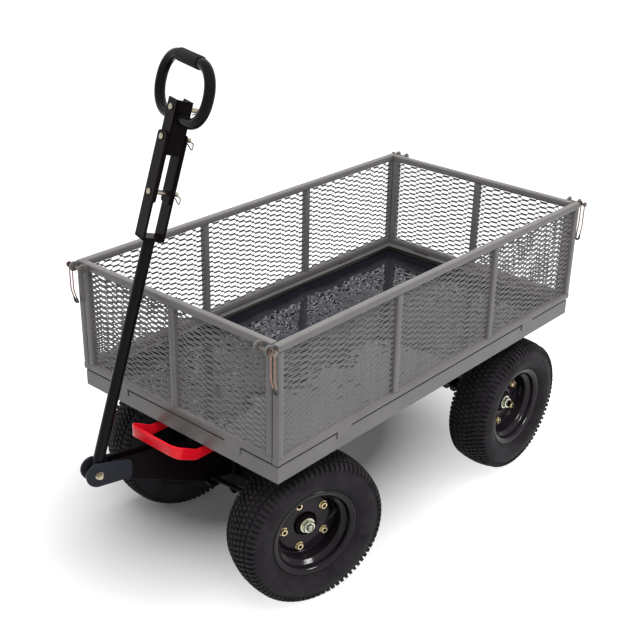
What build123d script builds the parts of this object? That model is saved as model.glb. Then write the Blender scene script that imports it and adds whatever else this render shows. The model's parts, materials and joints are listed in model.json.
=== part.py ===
from build123d import *
import os
from math import cos, radians, sin

os.makedirs("parts", exist_ok=True)

# The cart stands on z = 0 and pulls toward -Y; its left side is +X. All lengths are millimetres.
up = Vector(0, 0, 1)
bed_y = 82.683

# Bed: a ring of channel, open inward
bed_width = 676.0
bed_length = 1246.0
band_bottom = 427.0
band_height = 43.0
band_sheet = 3.0
band_flange = 25.0
band_top = band_bottom + band_height

# Removable panels: welded square tube with diamond mesh
panel_tube = 19.0
panel_proud = 3.0
panel_bottom = band_top + 4.5
panel_top = 773.5
corner_gap = 1.5
mesh_sheet = 2.5
side_face_x = bed_width / 2 + panel_proud
end_face_y = bed_length / 2 + panel_proud
tab_width = 50.0
tab_lap = 15.0

# Under the bed
stringer_x = 105.0
stringer_width = 40.0
stringer_bottom = 407.4
crossbar_width = 30.0
crossbar_height = 15.0
crossbar_bottom = band_bottom + band_sheet
floor_bottom = crossbar_bottom + crossbar_height
floor_sheet = 3.0
crossbar_places = (-572.0, -290.0, 0.0, 290.0, 572.0)

# Rolling chassis
rail_size = 40.0
rail_wall = 3.0
rail_top = 407.0
rail_z = rail_top - rail_size / 2
rail_bottom = rail_top - rail_size
rail_front = bed_y - 455.0
front_axle_y = bed_y - 415.0
rear_axle_y = bed_y + 400.0
axle_z = 198.0
hinge_y = rear_axle_y + 95.0
hinge_z = rail_z
hinge_radius = 8.0
running_gap = 0.05
bolster_plate = 8.0

# Wheels
tyre_radius = 198.0
tyre_width = 134.0
bead_half = 46.0
bead_radius = 104.0
flange_radius = 118.0
stub_radius = 10.0
hub_back = 55.0
hub_nose = 9.0
stub_end = 25.0
lug_circle = 62.5
track_half = 285.0

# Steering, drawn with the handle swung toward the right side
steer_angle = 17.0
steer_y = bed_y - 430.0
kingpin_x = 153.0
stub_reach = 120.0
kingpin_radius = 8.0
arm_out = 30.0
arm_forward = 75.0
arm_bottom = 224.4
arm_plate = 8.0
rod_radius = 6.0
rod_z = arm_bottom + arm_plate + rod_radius + 3.0
forward = Vector(-sin(radians(steer_angle)), -cos(radians(steer_angle)), 0)
lateral = Vector(cos(radians(steer_angle)), -sin(radians(steer_angle)), 0)

# Tongue and handle
tongue_half = 16.0
tongue_plate = 6.0
tongue_reach = 370.0
clevis_z = 340.0
clevis_radius = 6.0
ear_radius = 32.0
handle_lean = 16.4
handle_radius = 14.0
fork_base = 588.0
fork_top = 834.0
fork_half = 27.0
fork_plate = 6.0
fork_width = 45.0
pivot_pin_at = 697.0
lock_pin_at = 822.0
spare_pin_at = 889.0
pin_radius = 5.5
bracket_half = 20.4
bracket_plate = 5.0
bracket_low = 675.0
bracket_high = 908.0
web_low = 786.0
grip_radius = 12.5
grip_low = 868.0
grip_high = 997.0
grip_half = 117.0
grip_corner = 62.0
sleeve_radius = 15.5
sleeve_half = 50.0

# Bed release lever
strap_height = 30.0
strap_thick = 5.0
strap_half = 84.0
release_y = bed_y - 572.0
release_z = 397.0
release_front = bed_y - 699.0
release_lift = 34.5
release_rod_radius = 5.0

# Corner latches
latch_z = 765.0
latch_out = 17.0
latch_ear = 12.5
panel_ear_x = 296.0
post_ear_x = 328.0
ear_plate = 4.0
latch_radius = 4.0
bail_wire = 1.7
bail_legs = (335.5, 346.5)
bail_drop = 104.0


def place(base, position, turn=(0, 0, 0)):
    """Give a plane at a position and turn measured in another plane's own directions."""
    return Plane(base.location * Location(position, turn))


def facing_left(x, y=0.0, z=0.0):
    """Give a plane that looks toward +X, with Y across it and Z up it."""
    return Plane(origin=(x, y, z), x_dir=(0, 1, 0), z_dir=(1, 0, 0))


def facing_front(x, y, z):
    """Give a plane that looks toward -Y, with X across it and Z up it."""
    return Plane(origin=(x, y, z), x_dir=(1, 0, 0), z_dir=(0, -1, 0))


def level(x, y, z):
    """Give a flat plane at a height, with X across it and Y up it."""
    return Plane(origin=(x, y, z), x_dir=(1, 0, 0), z_dir=(0, 0, 1))


def rod(plane, radius, length, mode=Mode.ADD):
    """Raise a round bar from a plane; subtracted, it is a drilled hole."""
    with BuildSketch(plane) as outline:
        Circle(radius)
    extrude(outline.sketch, amount=length, mode=mode)


def bar(plane, width, height, length, mode=Mode.ADD):
    """Raise a flat-sided bar from a plane, centred on it."""
    with BuildSketch(plane) as outline:
        Rectangle(width, height)
    extrude(outline.sketch, amount=length, mode=mode)


def box_tube(plane, width, height, wall, length):
    """Raise a square tube from a plane."""
    with BuildSketch(plane) as outline:
        Rectangle(width, height)
        Rectangle(width - 2 * wall, height - 2 * wall, mode=Mode.SUBTRACT)
    extrude(outline.sketch, amount=length)


def pipe(plane, radius, wall, length):
    """Raise a round tube from a plane."""
    with BuildSketch(plane) as outline:
        Circle(radius)
        Circle(radius - wall, mode=Mode.SUBTRACT)
    extrude(outline.sketch, amount=length)


def hexagon(plane, radius, length):
    """Raise a bolt head or nut from a plane."""
    with BuildSketch(plane) as outline:
        RegularPolygon(radius, 6)
    extrude(outline.sketch, amount=length)


def plate(plane, points, thickness, mode=Mode.ADD):
    """Raise a flat plate with the given corners from a plane."""
    with BuildSketch(plane) as outline:
        with BuildLine():
            Polyline(*points, close=True)
        make_face()
    extrude(outline.sketch, amount=thickness, mode=mode)


def save(part, name):
    """Label one finished piece and write it out."""
    part.label = name
    export_step(part, f"parts/{name}.step")


# Chassis: two rails with crossmembers, rear gussets and the keeper for the bed latch
with BuildPart() as chassis_frame:
    for side in (-1, 1):
        rail_x = side * stringer_x
        box_tube(facing_front(rail_x, hinge_y, rail_z), rail_size, rail_size, rail_wall, hinge_y - rail_front)
        rod(facing_left(rail_x - rail_size / 2, hinge_y, rail_z), rail_size / 2, rail_size)
        for inset in (-17.0, 11.0):
            gusset = facing_left(rail_x + inset, rear_axle_y, axle_z)
            rise = rail_bottom - axle_z + 1.0
            plate(gusset, [(-85, rise), (-24, -16), (24, -16), (85, rise)], 6.0)
            rod(gusset, 29.0, 6.0)
    between = 2 * stringer_x - rail_size
    for place_y, size in ((bed_y - 392.0, rail_size), (bed_y, 30.0), (bed_y + 425.0, 30.0)):
        start = facing_left(-between / 2, place_y, rail_z)
        box_tube(start, size, size, rail_wall, between)
    bar(level(0, bed_y - 484.0, rail_bottom), 44.0, 144.0, 6.0)
    bar(level(0, bed_y - 553.0, rail_bottom), 44.0, 6.0, 20.0)
    bar(level(0, bed_y - 556.0, rail_bottom + 15.0), 44.0, 12.0, 5.0)
    rod(facing_left(-200, hinge_y, hinge_z), hinge_radius + running_gap, 400, Mode.SUBTRACT)
    rod(facing_left(-200, rear_axle_y, axle_z), 15.0 + running_gap, 400, Mode.SUBTRACT)
    rod(level(0, steer_y, rail_bottom - 1), 14.0, 10, Mode.SUBTRACT)
save(chassis_frame.part, "chassis_frame")

# Front axle beam with kingpin barrels, two risers and the bolster plate under the rails
barrel_low = 172.0
barrel_high = 224.0
beam_half = kingpin_x - 12.0
riser_x = 95.0
with BuildPart() as front_axle_beam:
    box_tube(facing_left(-beam_half, front_axle_y, axle_z), 40.0, 40.0, 4.0, 2 * beam_half)
    for side in (-1, 1):
        rod(level(side * kingpin_x, front_axle_y, barrel_low), 19.0, barrel_high - barrel_low)
        riser = level(side * riser_x, front_axle_y, axle_z + 20.0)
        box_tube(riser, 30.0, 40.0, 3.0, rail_bottom - bolster_plate - axle_z - 20.0)
    bar(level(0, bed_y - 415.0, rail_bottom - bolster_plate), 250.0, 80.0, bolster_plate)
    for side in (-1, 1):
        drill = level(side * kingpin_x, front_axle_y, barrel_low)
        rod(drill, kingpin_radius + running_gap, barrel_high, Mode.SUBTRACT)
    rod(level(0, steer_y, 100), kingpin_radius + running_gap, 400, Mode.SUBTRACT)
save(front_axle_beam.part, "front_axle_beam")

# Kingpin bolts and the tongue bolt
knuckle_top = arm_bottom + arm_plate
knuckle_low = barrel_low - 0.4 - arm_plate
with BuildPart() as steering_bolts:
    for side in (-1, 1):
        foot = level(side * kingpin_x, front_axle_y, knuckle_low - 20.0)
        rod(foot, kingpin_radius, knuckle_top - knuckle_low + 22.0)
        hexagon(place(foot, (0, 0, 6.0)), 13.5, 13.6)
        hexagon(place(foot, (0, 0, knuckle_top - knuckle_low + 20.4)), 13.5, 9.0)
    foot = level(0, steer_y, 156.0)
    rod(foot, kingpin_radius, rail_bottom - 156.0 + 4.0)
    hexagon(place(foot, (0, 0, 8.0)), 13.5, 13.9)
    hexagon(place(foot, (0, 0, rail_bottom - 156.0 + 0.1)), 13.5, 9.0)
save(steering_bolts.part, "steering_bolts")

# Rear axle: a round bar with a turned stub at each end
stub_start = track_half - hub_back - 1.0
with BuildPart() as rear_axle:
    rod(facing_left(-stub_start, rear_axle_y, axle_z), 15.0, 2 * stub_start)
    stub_length = track_half + stub_end
    rod(facing_left(-stub_length, rear_axle_y, axle_z), stub_radius, 2 * stub_length)
save(rear_axle.part, "rear_axle")

# Hinge pin that the bed tips on
with BuildPart() as dump_hinge_pin:
    rod(facing_left(-135.0, hinge_y, hinge_z), hinge_radius, 270.0)
    rod(facing_left(-138.0, hinge_y, hinge_z), 12.0, 5.0)
    rod(facing_left(133.0, hinge_y, hinge_z), 12.0, 5.0)
save(dump_hinge_pin.part, "dump_hinge_pin")


def wheel_frame(centre, outward):
    """Give a plane through a wheel's axle: the axle runs across it and the radius up it."""
    return Plane(origin=centre, x_dir=outward, z_dir=outward.cross(up))


def face_frame(frame, along):
    """Give a plane square to the axle, at a distance along it."""
    return Plane(origin=frame.from_local_coords((along, 0, 0)), x_dir=up, z_dir=frame.x_dir)


def make_tyre(frame):
    """Turn one hollow tyre."""
    shoulder = (tyre_width / 2 - 7.0, tyre_radius - 10.0)
    bulge = (tyre_width / 2, tyre_radius - 43.0)
    with BuildPart() as tyre:
        with BuildSketch(frame):
            with BuildLine():
                ThreePointArc((-shoulder[0], shoulder[1]), (0, tyre_radius), shoulder)
                ThreePointArc(shoulder, bulge, (bead_half, flange_radius + 1.0))
                Line((bead_half, flange_radius + 1.0), (bead_half, bead_radius))
                Line((bead_half, bead_radius), (bead_half - 10, bead_radius))
                Line((bead_half - 10, bead_radius), (bead_half - 10, flange_radius))
                ThreePointArc((bead_half - 10, flange_radius), (57, 154), (49, 177))
                ThreePointArc((49, 177), (0, 187), (-49, 177))
                ThreePointArc((-49, 177), (-57, 154), (10 - bead_half, flange_radius))
                Line((10 - bead_half, flange_radius), (10 - bead_half, bead_radius))
                Line((10 - bead_half, bead_radius), (-bead_half, bead_radius))
                Line((-bead_half, bead_radius), (-bead_half, flange_radius + 1.0))
                ThreePointArc(
                    (-bead_half, flange_radius + 1.0), (-bulge[0], bulge[1]), (-shoulder[0], shoulder[1]))
            make_face()
        revolve(axis=Axis(frame.origin, frame.x_dir))
    return tyre.part


def make_rim(frame):
    """Turn one pressed rim with its deep-set disc."""
    seat = bead_radius - 0.1
    wall = bead_half + 4.0
    with BuildPart() as rim:
        with BuildSketch(frame):
            with BuildLine():
                Polyline(
                    (-wall, flange_radius), (-bead_half - 0.1, flange_radius), (-bead_half - 0.1, seat),
                    (-31, seat - 1), (-23, 90), (23, 90), (31, seat - 1),
                    (bead_half + 0.1, seat), (bead_half + 0.1, flange_radius), (wall, flange_radius),
                    (wall, seat - 3), (32.5, seat - 4), (24.5, 86.5),
                    (-8, 86.5), (0, 74), (0, 31), (-4, 31), (-4, 71), (-14, 86.5),
                    (-24.5, 86.5), (-32.5, seat - 4), (-wall, seat - 3), close=True)
            make_face()
        revolve(axis=Axis(frame.origin, frame.x_dir))
    return rim.part


def make_hub(frame):
    """Turn one hub: a barrel on the stub axle with a flange behind the disc."""
    bore = stub_radius + running_gap
    with BuildPart() as hub:
        with BuildSketch(frame):
            with BuildLine():
                Polyline(
                    (-hub_back, bore), (-hub_back, 25), (-13, 30), (-13, 68), (-4, 68),
                    (-4, 30.5), (4, 30.5), (hub_nose, 24), (hub_nose, bore), close=True)
            make_face()
        revolve(axis=Axis(frame.origin, frame.x_dir))
    return hub.part


def make_lug_bolts(frame):
    """Make five lug bolt heads seated on the disc."""
    with BuildPart() as lugs:
        with BuildSketch(face_frame(frame, 0)):
            with PolarLocations(lug_circle, 5, start_angle=20):
                RegularPolygon(10.5, 6)
        extrude(amount=8.0)
    return lugs.part


def add_axle_nut(frame):
    """Add a washer and nut on the end of a stub axle to the piece being built."""
    with BuildSketch(face_frame(frame, hub_nose + 0.3)) as washer:
        Circle(20.0)
        Circle(stub_radius, mode=Mode.SUBTRACT)
    extrude(washer.sketch, amount=2.5)
    with BuildSketch(face_frame(frame, hub_nose + 2.8)) as nut:
        RegularPolygon(17.0, 6)
        Circle(stub_radius, mode=Mode.SUBTRACT)
    extrude(nut.sketch, amount=10.0)


left = Vector(1, 0, 0)
rear_left = wheel_frame(Vector(track_half, rear_axle_y, axle_z), left)
rear_right = wheel_frame(Vector(-track_half, rear_axle_y, axle_z), left * -1)
kingpin_left = Vector(kingpin_x, front_axle_y, axle_z)
kingpin_right = Vector(-kingpin_x, front_axle_y, axle_z)
front_left = wheel_frame(kingpin_left + lateral * stub_reach, lateral)
front_right = wheel_frame(kingpin_right - lateral * stub_reach, lateral * -1)
wheel_frames = {
    "front_left": front_left, "front_right": front_right,
    "rear_left": rear_left, "rear_right": rear_right}

for corner, frame in wheel_frames.items():
    save(make_tyre(frame), f"tyre_{corner}")
    save(make_rim(frame), f"wheel_rim_{corner}")
    save(make_hub(frame), f"wheel_hub_{corner}")
    save(make_lug_bolts(frame), f"lug_bolts_{corner}")

with BuildPart() as rear_axle_nuts:
    add_axle_nut(rear_left)
    add_axle_nut(rear_right)
save(rear_axle_nuts.part, "rear_axle_nuts")


def make_knuckle(kingpin, out):
    """Make one knuckle: a yoke over the kingpin barrel, its stub axle and steering arm."""
    frame = Plane(origin=(kingpin.X, kingpin.Y, 0), x_dir=lateral, z_dir=(0, 0, 1))
    arm_end = (out * arm_out, -arm_forward)
    with BuildPart() as knuckle:
        for bottom in (knuckle_low, arm_bottom):
            with BuildSketch(place(frame, (0, 0, bottom))) as ear:
                Circle(22.0)
                with Locations((out * 17.0, 0)):
                    Rectangle(34.0, 44.0)
            extrude(ear.sketch, amount=arm_plate)
        with BuildSketch(place(frame, (0, 0, arm_bottom))) as arm:
            with BuildLine():
                Polyline(
                    (-out * 14, 0), (out * 22, 0), (arm_end[0] + out * 12, arm_end[1]),
                    (arm_end[0] - out * 12, arm_end[1]), close=True)
            make_face()
            with Locations(arm_end):
                Circle(12.5)
        extrude(arm.sketch, amount=arm_plate)
        bar(place(frame, (out * 29.0, 0, knuckle_low)), 10.0, 44.0, knuckle_top - knuckle_low)
        stub = Plane(
            origin=frame.from_local_coords((out * 29.0, 0, axle_z)), x_dir=(0, 0, 1), z_dir=lateral * out)
        rod(stub, 14.0, stub_reach - hub_back - 30.0)
        rod(stub, stub_radius, stub_reach + stub_end - 29.0)
        rod(place(frame, (0, 0, 100)), kingpin_radius + running_gap, 200, Mode.SUBTRACT)
        drill = place(frame, (arm_end[0], arm_end[1], 100))
        rod(drill, rod_radius + 0.3, 200, Mode.SUBTRACT)
    return knuckle.part


def make_tie_rod(kingpin, out):
    """Make one tie rod: a straight bar with both ends bent down through the steering arms."""
    tongue_end = Vector(0, steer_y, rod_z) + lateral * (out * arm_out) + forward * arm_forward
    arm_end = Vector(kingpin.X, kingpin.Y, rod_z) + lateral * (out * arm_out) + forward * arm_forward
    span = arm_end - tongue_end
    with BuildPart() as tie_rod:
        rod(Plane(origin=tongue_end, x_dir=(0, 0, 1), z_dir=span), rod_radius, span.length)
        for end in (tongue_end, arm_end):
            rod(level(end.X, end.Y, arm_bottom - 8.0), rod_radius, rod_z - arm_bottom + 8.0)
            with Locations(Location((end.X, end.Y, rod_z))):
                Sphere(rod_radius)
    return tie_rod.part


save(make_knuckle(kingpin_left, 1), "knuckle_left")
save(make_knuckle(kingpin_right, -1), "knuckle_right")
save(make_tie_rod(kingpin_left, 1), "tie_rod_left")
save(make_tie_rod(kingpin_right, -1), "tie_rod_right")

with BuildPart() as axle_nut_front_left:
    add_axle_nut(front_left)
save(axle_nut_front_left.part, "axle_nut_front_left")

with BuildPart() as axle_nut_front_right:
    add_axle_nut(front_right)
save(axle_nut_front_right.part, "axle_nut_front_right")

# Tongue: a pivot sleeve, a tapering channel open above, the steering lug and two ears for the handle
tongue_side = Plane(origin=(0, steer_y, 0), x_dir=forward, z_dir=lateral * -1)
tongue_top = 357.0
sleeve_low = axle_z + 20.4
with BuildPart() as tongue:
    rod(level(0, steer_y, sleeve_low), 20.0, rail_bottom - bolster_plate - 0.4 - sleeve_low)
    outer = [
        (12, 226), (90, 226), (300, 305), (334, 305), (334, tongue_top + 8), (95, tongue_top + 8),
        (45, tongue_top), (12, tongue_top)]
    inner = [(22, 232), (89, 232), (299, 311), (420, 311), (420, 400), (22, 400)]
    trough = tongue_half - tongue_plate
    plate(tongue_side.offset(-tongue_half), outer, 2 * tongue_half)
    plate(tongue_side.offset(-trough), inner, 2 * trough, Mode.SUBTRACT)
    rod(level(0, steer_y, sleeve_low), 20.0, rail_bottom - bolster_plate - 0.4 - sleeve_low)
    for start in (-tongue_half - tongue_plate, tongue_half):
        with BuildSketch(tongue_side.offset(start)) as ear:
            with BuildLine():
                Polyline(
                    (286, 308), (tongue_reach, 314), (tongue_reach, clevis_z + 26), (286, 360), close=True)
            make_face()
            with Locations((tongue_reach, clevis_z)):
                Circle(ear_radius)
        extrude(ear.sketch, amount=tongue_plate)
    lug = Plane(origin=(0, steer_y, arm_bottom), x_dir=lateral, z_dir=(0, 0, 1))
    bar(place(lug, (0, -arm_forward, 0)), 2 * arm_out + 26.0, 30.0, arm_plate)
    for out in (-1, 1):
        rod(place(lug, (out * arm_out, -arm_forward, -20)), rod_radius + 0.3, 60, Mode.SUBTRACT)
    rod(level(0, steer_y, 100), kingpin_radius + running_gap, 400, Mode.SUBTRACT)
    drill = place(tongue_side, (tongue_reach, clevis_z, -60))
    rod(drill, clevis_radius + running_gap, 120, Mode.SUBTRACT)
save(tongue.part, "tongue")

clevis = tongue_side.from_local_coords((tongue_reach, clevis_z, 0))
clevis_head = tongue_half + tongue_plate + 0.2
with BuildPart() as clevis_bolt:
    across = Plane(origin=clevis, x_dir=(0, 0, 1), z_dir=lateral)
    rod(place(across, (0, 0, -34.0)), clevis_radius, 68.0)
    hexagon(place(across, (0, 0, clevis_head)), 11.0, 8.0)
    hexagon(place(across, (0, 0, -clevis_head - 9.0)), 11.0, 9.0)
save(clevis_bolt.part, "clevis_bolt")

# Handle: measured across, back and up along its own length from the clevis
lean = radians(handle_lean)
handle_up = up * cos(lean) - forward * sin(lean)
handle = Plane(origin=clevis, x_dir=lateral, z_dir=handle_up)

with BuildPart() as handle_tube:
    pipe(place(handle, (0, 0, 8.0)), handle_radius, 2.5, fork_base - 8.0)
    cross = place(handle, (-tongue_half + 0.5, 0, 0), (0, 90, 0))
    rod(cross, 16.0, 2 * tongue_half - 1.0)
    rod(place(handle, (-40, 0, 0), (0, 90, 0)), clevis_radius + running_gap, 80, Mode.SUBTRACT)
save(handle_tube.part, "handle_tube")

with BuildPart() as handle_fork:
    bar(place(handle, (0, 0, fork_base)), fork_width, 2 * fork_half, 8.0)
    for start in (-fork_half + fork_plate, fork_half):
        with BuildSketch(place(handle, (0, start, (fork_base + fork_top) / 2), (90, 0, 0))) as arm:
            RectangleRounded(fork_width, fork_top - fork_base, 9.0)
            with Locations((0, -20.0)):
                Rectangle(fork_width, fork_top - fork_base - 40.0)
        extrude(arm.sketch, amount=fork_plate)
    for hole in (pivot_pin_at, lock_pin_at):
        rod(place(handle, (0, 60, hole), (90, 0, 0)), pin_radius + running_gap, 120, Mode.SUBTRACT)
save(handle_fork.part, "handle_fork")

with BuildPart() as grip_bracket:
    bracket_width = fork_width - 3.0
    for start in (-bracket_half + bracket_plate, bracket_half):
        middle = (bracket_low + bracket_high) / 2
        with BuildSketch(place(handle, (0, start, middle), (90, 0, 0))) as arm:
            RectangleRounded(bracket_width, bracket_high - bracket_low, 8.0)
            with Locations((0, 10.0)):
                Rectangle(bracket_width, bracket_high - bracket_low - 20.0)
        extrude(arm.sketch, amount=bracket_plate)
    web = place(handle, (bracket_width / 2 - 2.5, 0, web_low))
    bar(web, 5.0, 2 * bracket_half - 1.0, bracket_high - web_low)
    for hole in (pivot_pin_at, lock_pin_at, spare_pin_at):
        rod(place(handle, (0, 60, hole), (90, 0, 0)), pin_radius + running_gap, 120, Mode.SUBTRACT)
    rod(place(handle, (0, 0, grip_low), (0, 90, 0)), grip_radius + running_gap, 60, Mode.SUBTRACT)
save(grip_bracket.part, "grip_bracket")

# Grip: one closed loop of tube with a soft sleeve on its crossbar
loop_plane = place(handle, (0, 0, (grip_low + grip_high) / 2), (90, 0, 0))
with BuildPart() as grip_loop:
    with BuildLine(loop_plane) as loop_path:
        loop_high = (grip_high - grip_low) / 2
        FilletPolyline(
            (-grip_half, loop_high), (grip_half, loop_high), (grip_half, -loop_high),
            (-grip_half, -loop_high), radius=grip_corner, close=True)
    with BuildSketch(Plane(origin=loop_path.line @ 0, z_dir=loop_path.line % 0)):
        Circle(grip_radius)
    sweep(path=loop_path.line)
save(grip_loop.part, "grip_loop")

with BuildPart() as grip_sleeve:
    sleeve = place(handle, (-sleeve_half, 0, grip_high), (0, 90, 0))
    pipe(sleeve, sleeve_radius, sleeve_radius - grip_radius - 0.1, 2 * sleeve_half)
save(grip_sleeve.part, "grip_sleeve")

# Pins that hold the grip in the fork, headed in front and clipped behind
pin_heads = ((pivot_pin_at, fork_half), (lock_pin_at, fork_half), (spare_pin_at, bracket_half))
clip_at = 63.0
clip_wire = 1.4
with BuildPart() as hitch_pins:
    for at, seat in pin_heads:
        head = place(handle, (0, -seat - 0.2, at), (90, 0, 0))
        rod(head, 8.0, 4.0)
        rod(place(head, (0, 0, -72.0)), pin_radius, 72.0)
        rod(place(head, (-40, 0, -clip_at), (0, 90, 0)), clip_wire + 0.2, 80, Mode.SUBTRACT)
save(hitch_pins.part, "hitch_pins")

with BuildPart() as hairpin_clips:
    for at, seat in pin_heads:
        clip_start = handle.from_local_coords((0, clip_at - seat - 0.2, at))
        clip_plane = Plane(origin=clip_start, x_dir=lateral, z_dir=handle.y_dir)
        with BuildLine(clip_plane) as clip_path:
            Line((-14, 0), (26, 0))
            ThreePointArc((26, 0), (33, 7), (26, 14))
            ThreePointArc((26, 14), (12, 8.4), (0, 7.4))
            ThreePointArc((0, 7.4), (-8, 9.0), (-14, 13))
        with BuildSketch(Plane(origin=clip_path.line @ 0, z_dir=clip_path.line % 0)) as wire:
            RegularPolygon(clip_wire, 8)
        sweep(wire.sketch, path=clip_path.line)
save(hairpin_clips.part, "hairpin_clips")

# Bed ring: channel on all four sides, open toward the load
with BuildPart() as bed_rim:
    with BuildSketch(level(0, bed_y, band_bottom)) as ring:
        Rectangle(bed_width, bed_length)
        Rectangle(bed_width - 2 * band_flange, bed_length - 2 * band_flange, mode=Mode.SUBTRACT)
    extrude(ring.sketch, amount=band_height)
    with BuildSketch(level(0, bed_y, band_bottom + band_sheet)) as hollow:
        Rectangle(bed_width - 2 * band_sheet, bed_length - 2 * band_sheet)
    extrude(hollow.sketch, amount=band_height - 2 * band_sheet, mode=Mode.SUBTRACT)
save(bed_rim.part, "bed_rim")

# Frame under the floor: stringers, crossbars, hinge ears and the brackets for the release lever
with BuildPart() as bed_underframe:
    for side in (-1, 1):
        height = crossbar_bottom - stringer_bottom
        middle = stringer_bottom + height / 2
        stringer = facing_front(side * stringer_x, bed_y + 592.0, middle)
        box_tube(stringer, stringer_width, height, 2.5, 592.0 + 587.0)
        ear = facing_left(side * 69.0 - 3.0, hinge_y, hinge_z)
        rod(ear, 17.0, 6.0)
        plate(ear, [(-17, 0), (17, 0), (30, 42), (-30, 42)], 6.0)
        hanger = facing_left(side * 92.0 - 3.0, release_y, release_z)
        rod(hanger, 12.0, 6.0)
        plate(hanger, [(-12, 0), (12, 0), (15, 34), (-15, 34)], 6.0)
    bar(level(0, hinge_y, crossbar_bottom - 6.0), 2 * stringer_x, 60.0, 6.0)
    for at in crossbar_places:
        crossbar_half = bed_width / 2 - band_sheet - 1.0
        start = facing_left(-crossbar_half, bed_y + at, crossbar_bottom + crossbar_height / 2)
        box_tube(start, crossbar_width, crossbar_height, 2.0, 2 * crossbar_half)
    rod(facing_left(-120, hinge_y, hinge_z), hinge_radius + running_gap, 240, Mode.SUBTRACT)
    rod(facing_left(-120, release_y, release_z), release_rod_radius + running_gap, 240, Mode.SUBTRACT)
save(bed_underframe.part, "bed_underframe")

# Floor: one plain sheet laid on the crossbars
with BuildPart() as bed_floor:
    with BuildSketch(level(0, bed_y, floor_bottom)):
        Rectangle(bed_width - 2 * band_sheet - 6.0, bed_length - 2 * band_sheet - 6.0)
    extrude(amount=floor_sheet)
save(bed_floor.part, "bed_floor")

# Lever that releases the bed: a strap on edge whose arms dip under the band, with a hook behind it
with BuildPart() as release_rod:
    rod(facing_left(-100.0, release_y, release_z), release_rod_radius, 200.0)
    rod(facing_left(-101.5, release_y, release_z), 8.0, 5.0)
    rod(facing_left(96.5, release_y, release_z), 8.0, 5.0)
save(release_rod.part, "release_rod")

with BuildPart() as release_handle:
    front = release_front - release_y
    low = release_lift - strap_height / 2
    high = release_lift + strap_height / 2
    arm = [
        (front, low), (front, high), (front + 8, high), (front + 67, 16.5), (10, 13),
        (10, -13), (front + 59, -12)]
    for start in (-strap_half, strap_half - strap_thick):
        plate(facing_left(start, release_y, release_z), arm, strap_thick)
    bar(facing_front(0, release_front + strap_thick, release_z + release_lift),
        2 * strap_half, strap_height, strap_thick)
    fillet(release_handle.edges().filter_by(Axis.Z).sort_by(Axis.Y)[:2], 4.0)
    rod(facing_left(-strap_half + 2, release_y, release_z), 9.0, 2 * strap_half - 4)
    hook = facing_left(-9.0, release_y, release_z)
    plate(hook, [(-9, 0), (9, 0), (4, -11), (9, -18), (9, -24), (-9, -24)], 18.0)
    rod(facing_left(-120, release_y, release_z), release_rod_radius + running_gap, 240, Mode.SUBTRACT)
save(release_handle.part, "release_handle")


def diamonds(long_way, short_way, columns, rows):
    """Cut staggered rows of diamonds out of the sheet being drawn."""
    points = [(-0.40 * long_way, 0), (0, -0.40 * short_way), (0.40 * long_way, 0), (0, 0.40 * short_way)]
    with GridLocations(long_way, short_way, columns, rows):
        Polygon(*points, mode=Mode.SUBTRACT)
    with GridLocations(long_way, short_way, columns - 1, rows - 1):
        Polygon(*points, mode=Mode.SUBTRACT)


def make_panel(frame, length, posts, tabs, columns):
    """Make one panel frame and its mesh on the plane of the panel's outer face.

    Across that plane is the panel's length and up it is height.
    """
    height = panel_top - panel_bottom
    bay = (length - panel_tube * (posts + 2)) / (posts + 1)
    step = bay + panel_tube
    window = height - 2 * panel_tube
    with BuildPart() as panel:
        with BuildSketch(place(frame, (0, height / 2, -panel_tube))) as outline:
            Rectangle(length, height)
            with GridLocations(step, 1, posts + 1, 1):
                Rectangle(bay, window, mode=Mode.SUBTRACT)
        extrude(outline.sketch, amount=panel_tube)
        for at in (-tabs, tabs):
            bar(place(frame, (at, -1.75, 3 - panel_tube)), tab_width, 5.5, panel_tube - 7)
            lap = place(frame, (at, (0.5 - tab_lap) / 2, 0.2 - panel_proud))
            bar(lap, tab_width, tab_lap + 9.5, panel_proud - 0.2)
    with BuildPart() as mesh:
        with BuildSketch(place(frame, (0, height / 2, -(panel_tube + mesh_sheet) / 2))) as sheet:
            with GridLocations(step, 1, posts + 1, 1):
                Rectangle(bay, window)
            for bay_at in range(posts + 1):
                with Locations(((bay_at - posts / 2) * step, 0)):
                    diamonds((bay - 12) / columns, (window - 10) / 5, columns, 5)
        extrude(sheet.sketch, amount=mesh_sheet)
    return panel.part, mesh.part


end_length = 2 * (side_face_x - panel_tube - corner_gap)
side_length = 2 * end_face_y
front_face = facing_front(0, bed_y - end_face_y, panel_bottom)
rear_face = Plane(origin=(0, bed_y + end_face_y, panel_bottom), x_dir=(-1, 0, 0), z_dir=(0, 1, 0))
left_face = facing_left(side_face_x, bed_y, panel_bottom)
right_face = Plane(origin=(-side_face_x, bed_y, panel_bottom), x_dir=(0, -1, 0), z_dir=(-1, 0, 0))
panel_plan = {
    "front": (front_face, end_length, 1, 0.29 * bed_width, 3),
    "rear": (rear_face, end_length, 1, 0.29 * bed_width, 3),
    "left": (left_face, side_length, 2, 0.32 * bed_length, 4),
    "right": (right_face, side_length, 2, 0.32 * bed_length, 4)}

for name, plan in panel_plan.items():
    panel_frame, panel_mesh = make_panel(*plan)
    save(panel_frame, f"panel_frame_{name}")
    save(panel_mesh, f"panel_mesh_{name}")

corners = {"front_left": (1, -1), "front_right": (-1, -1), "rear_left": (1, 1), "rear_right": (-1, 1)}

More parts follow.
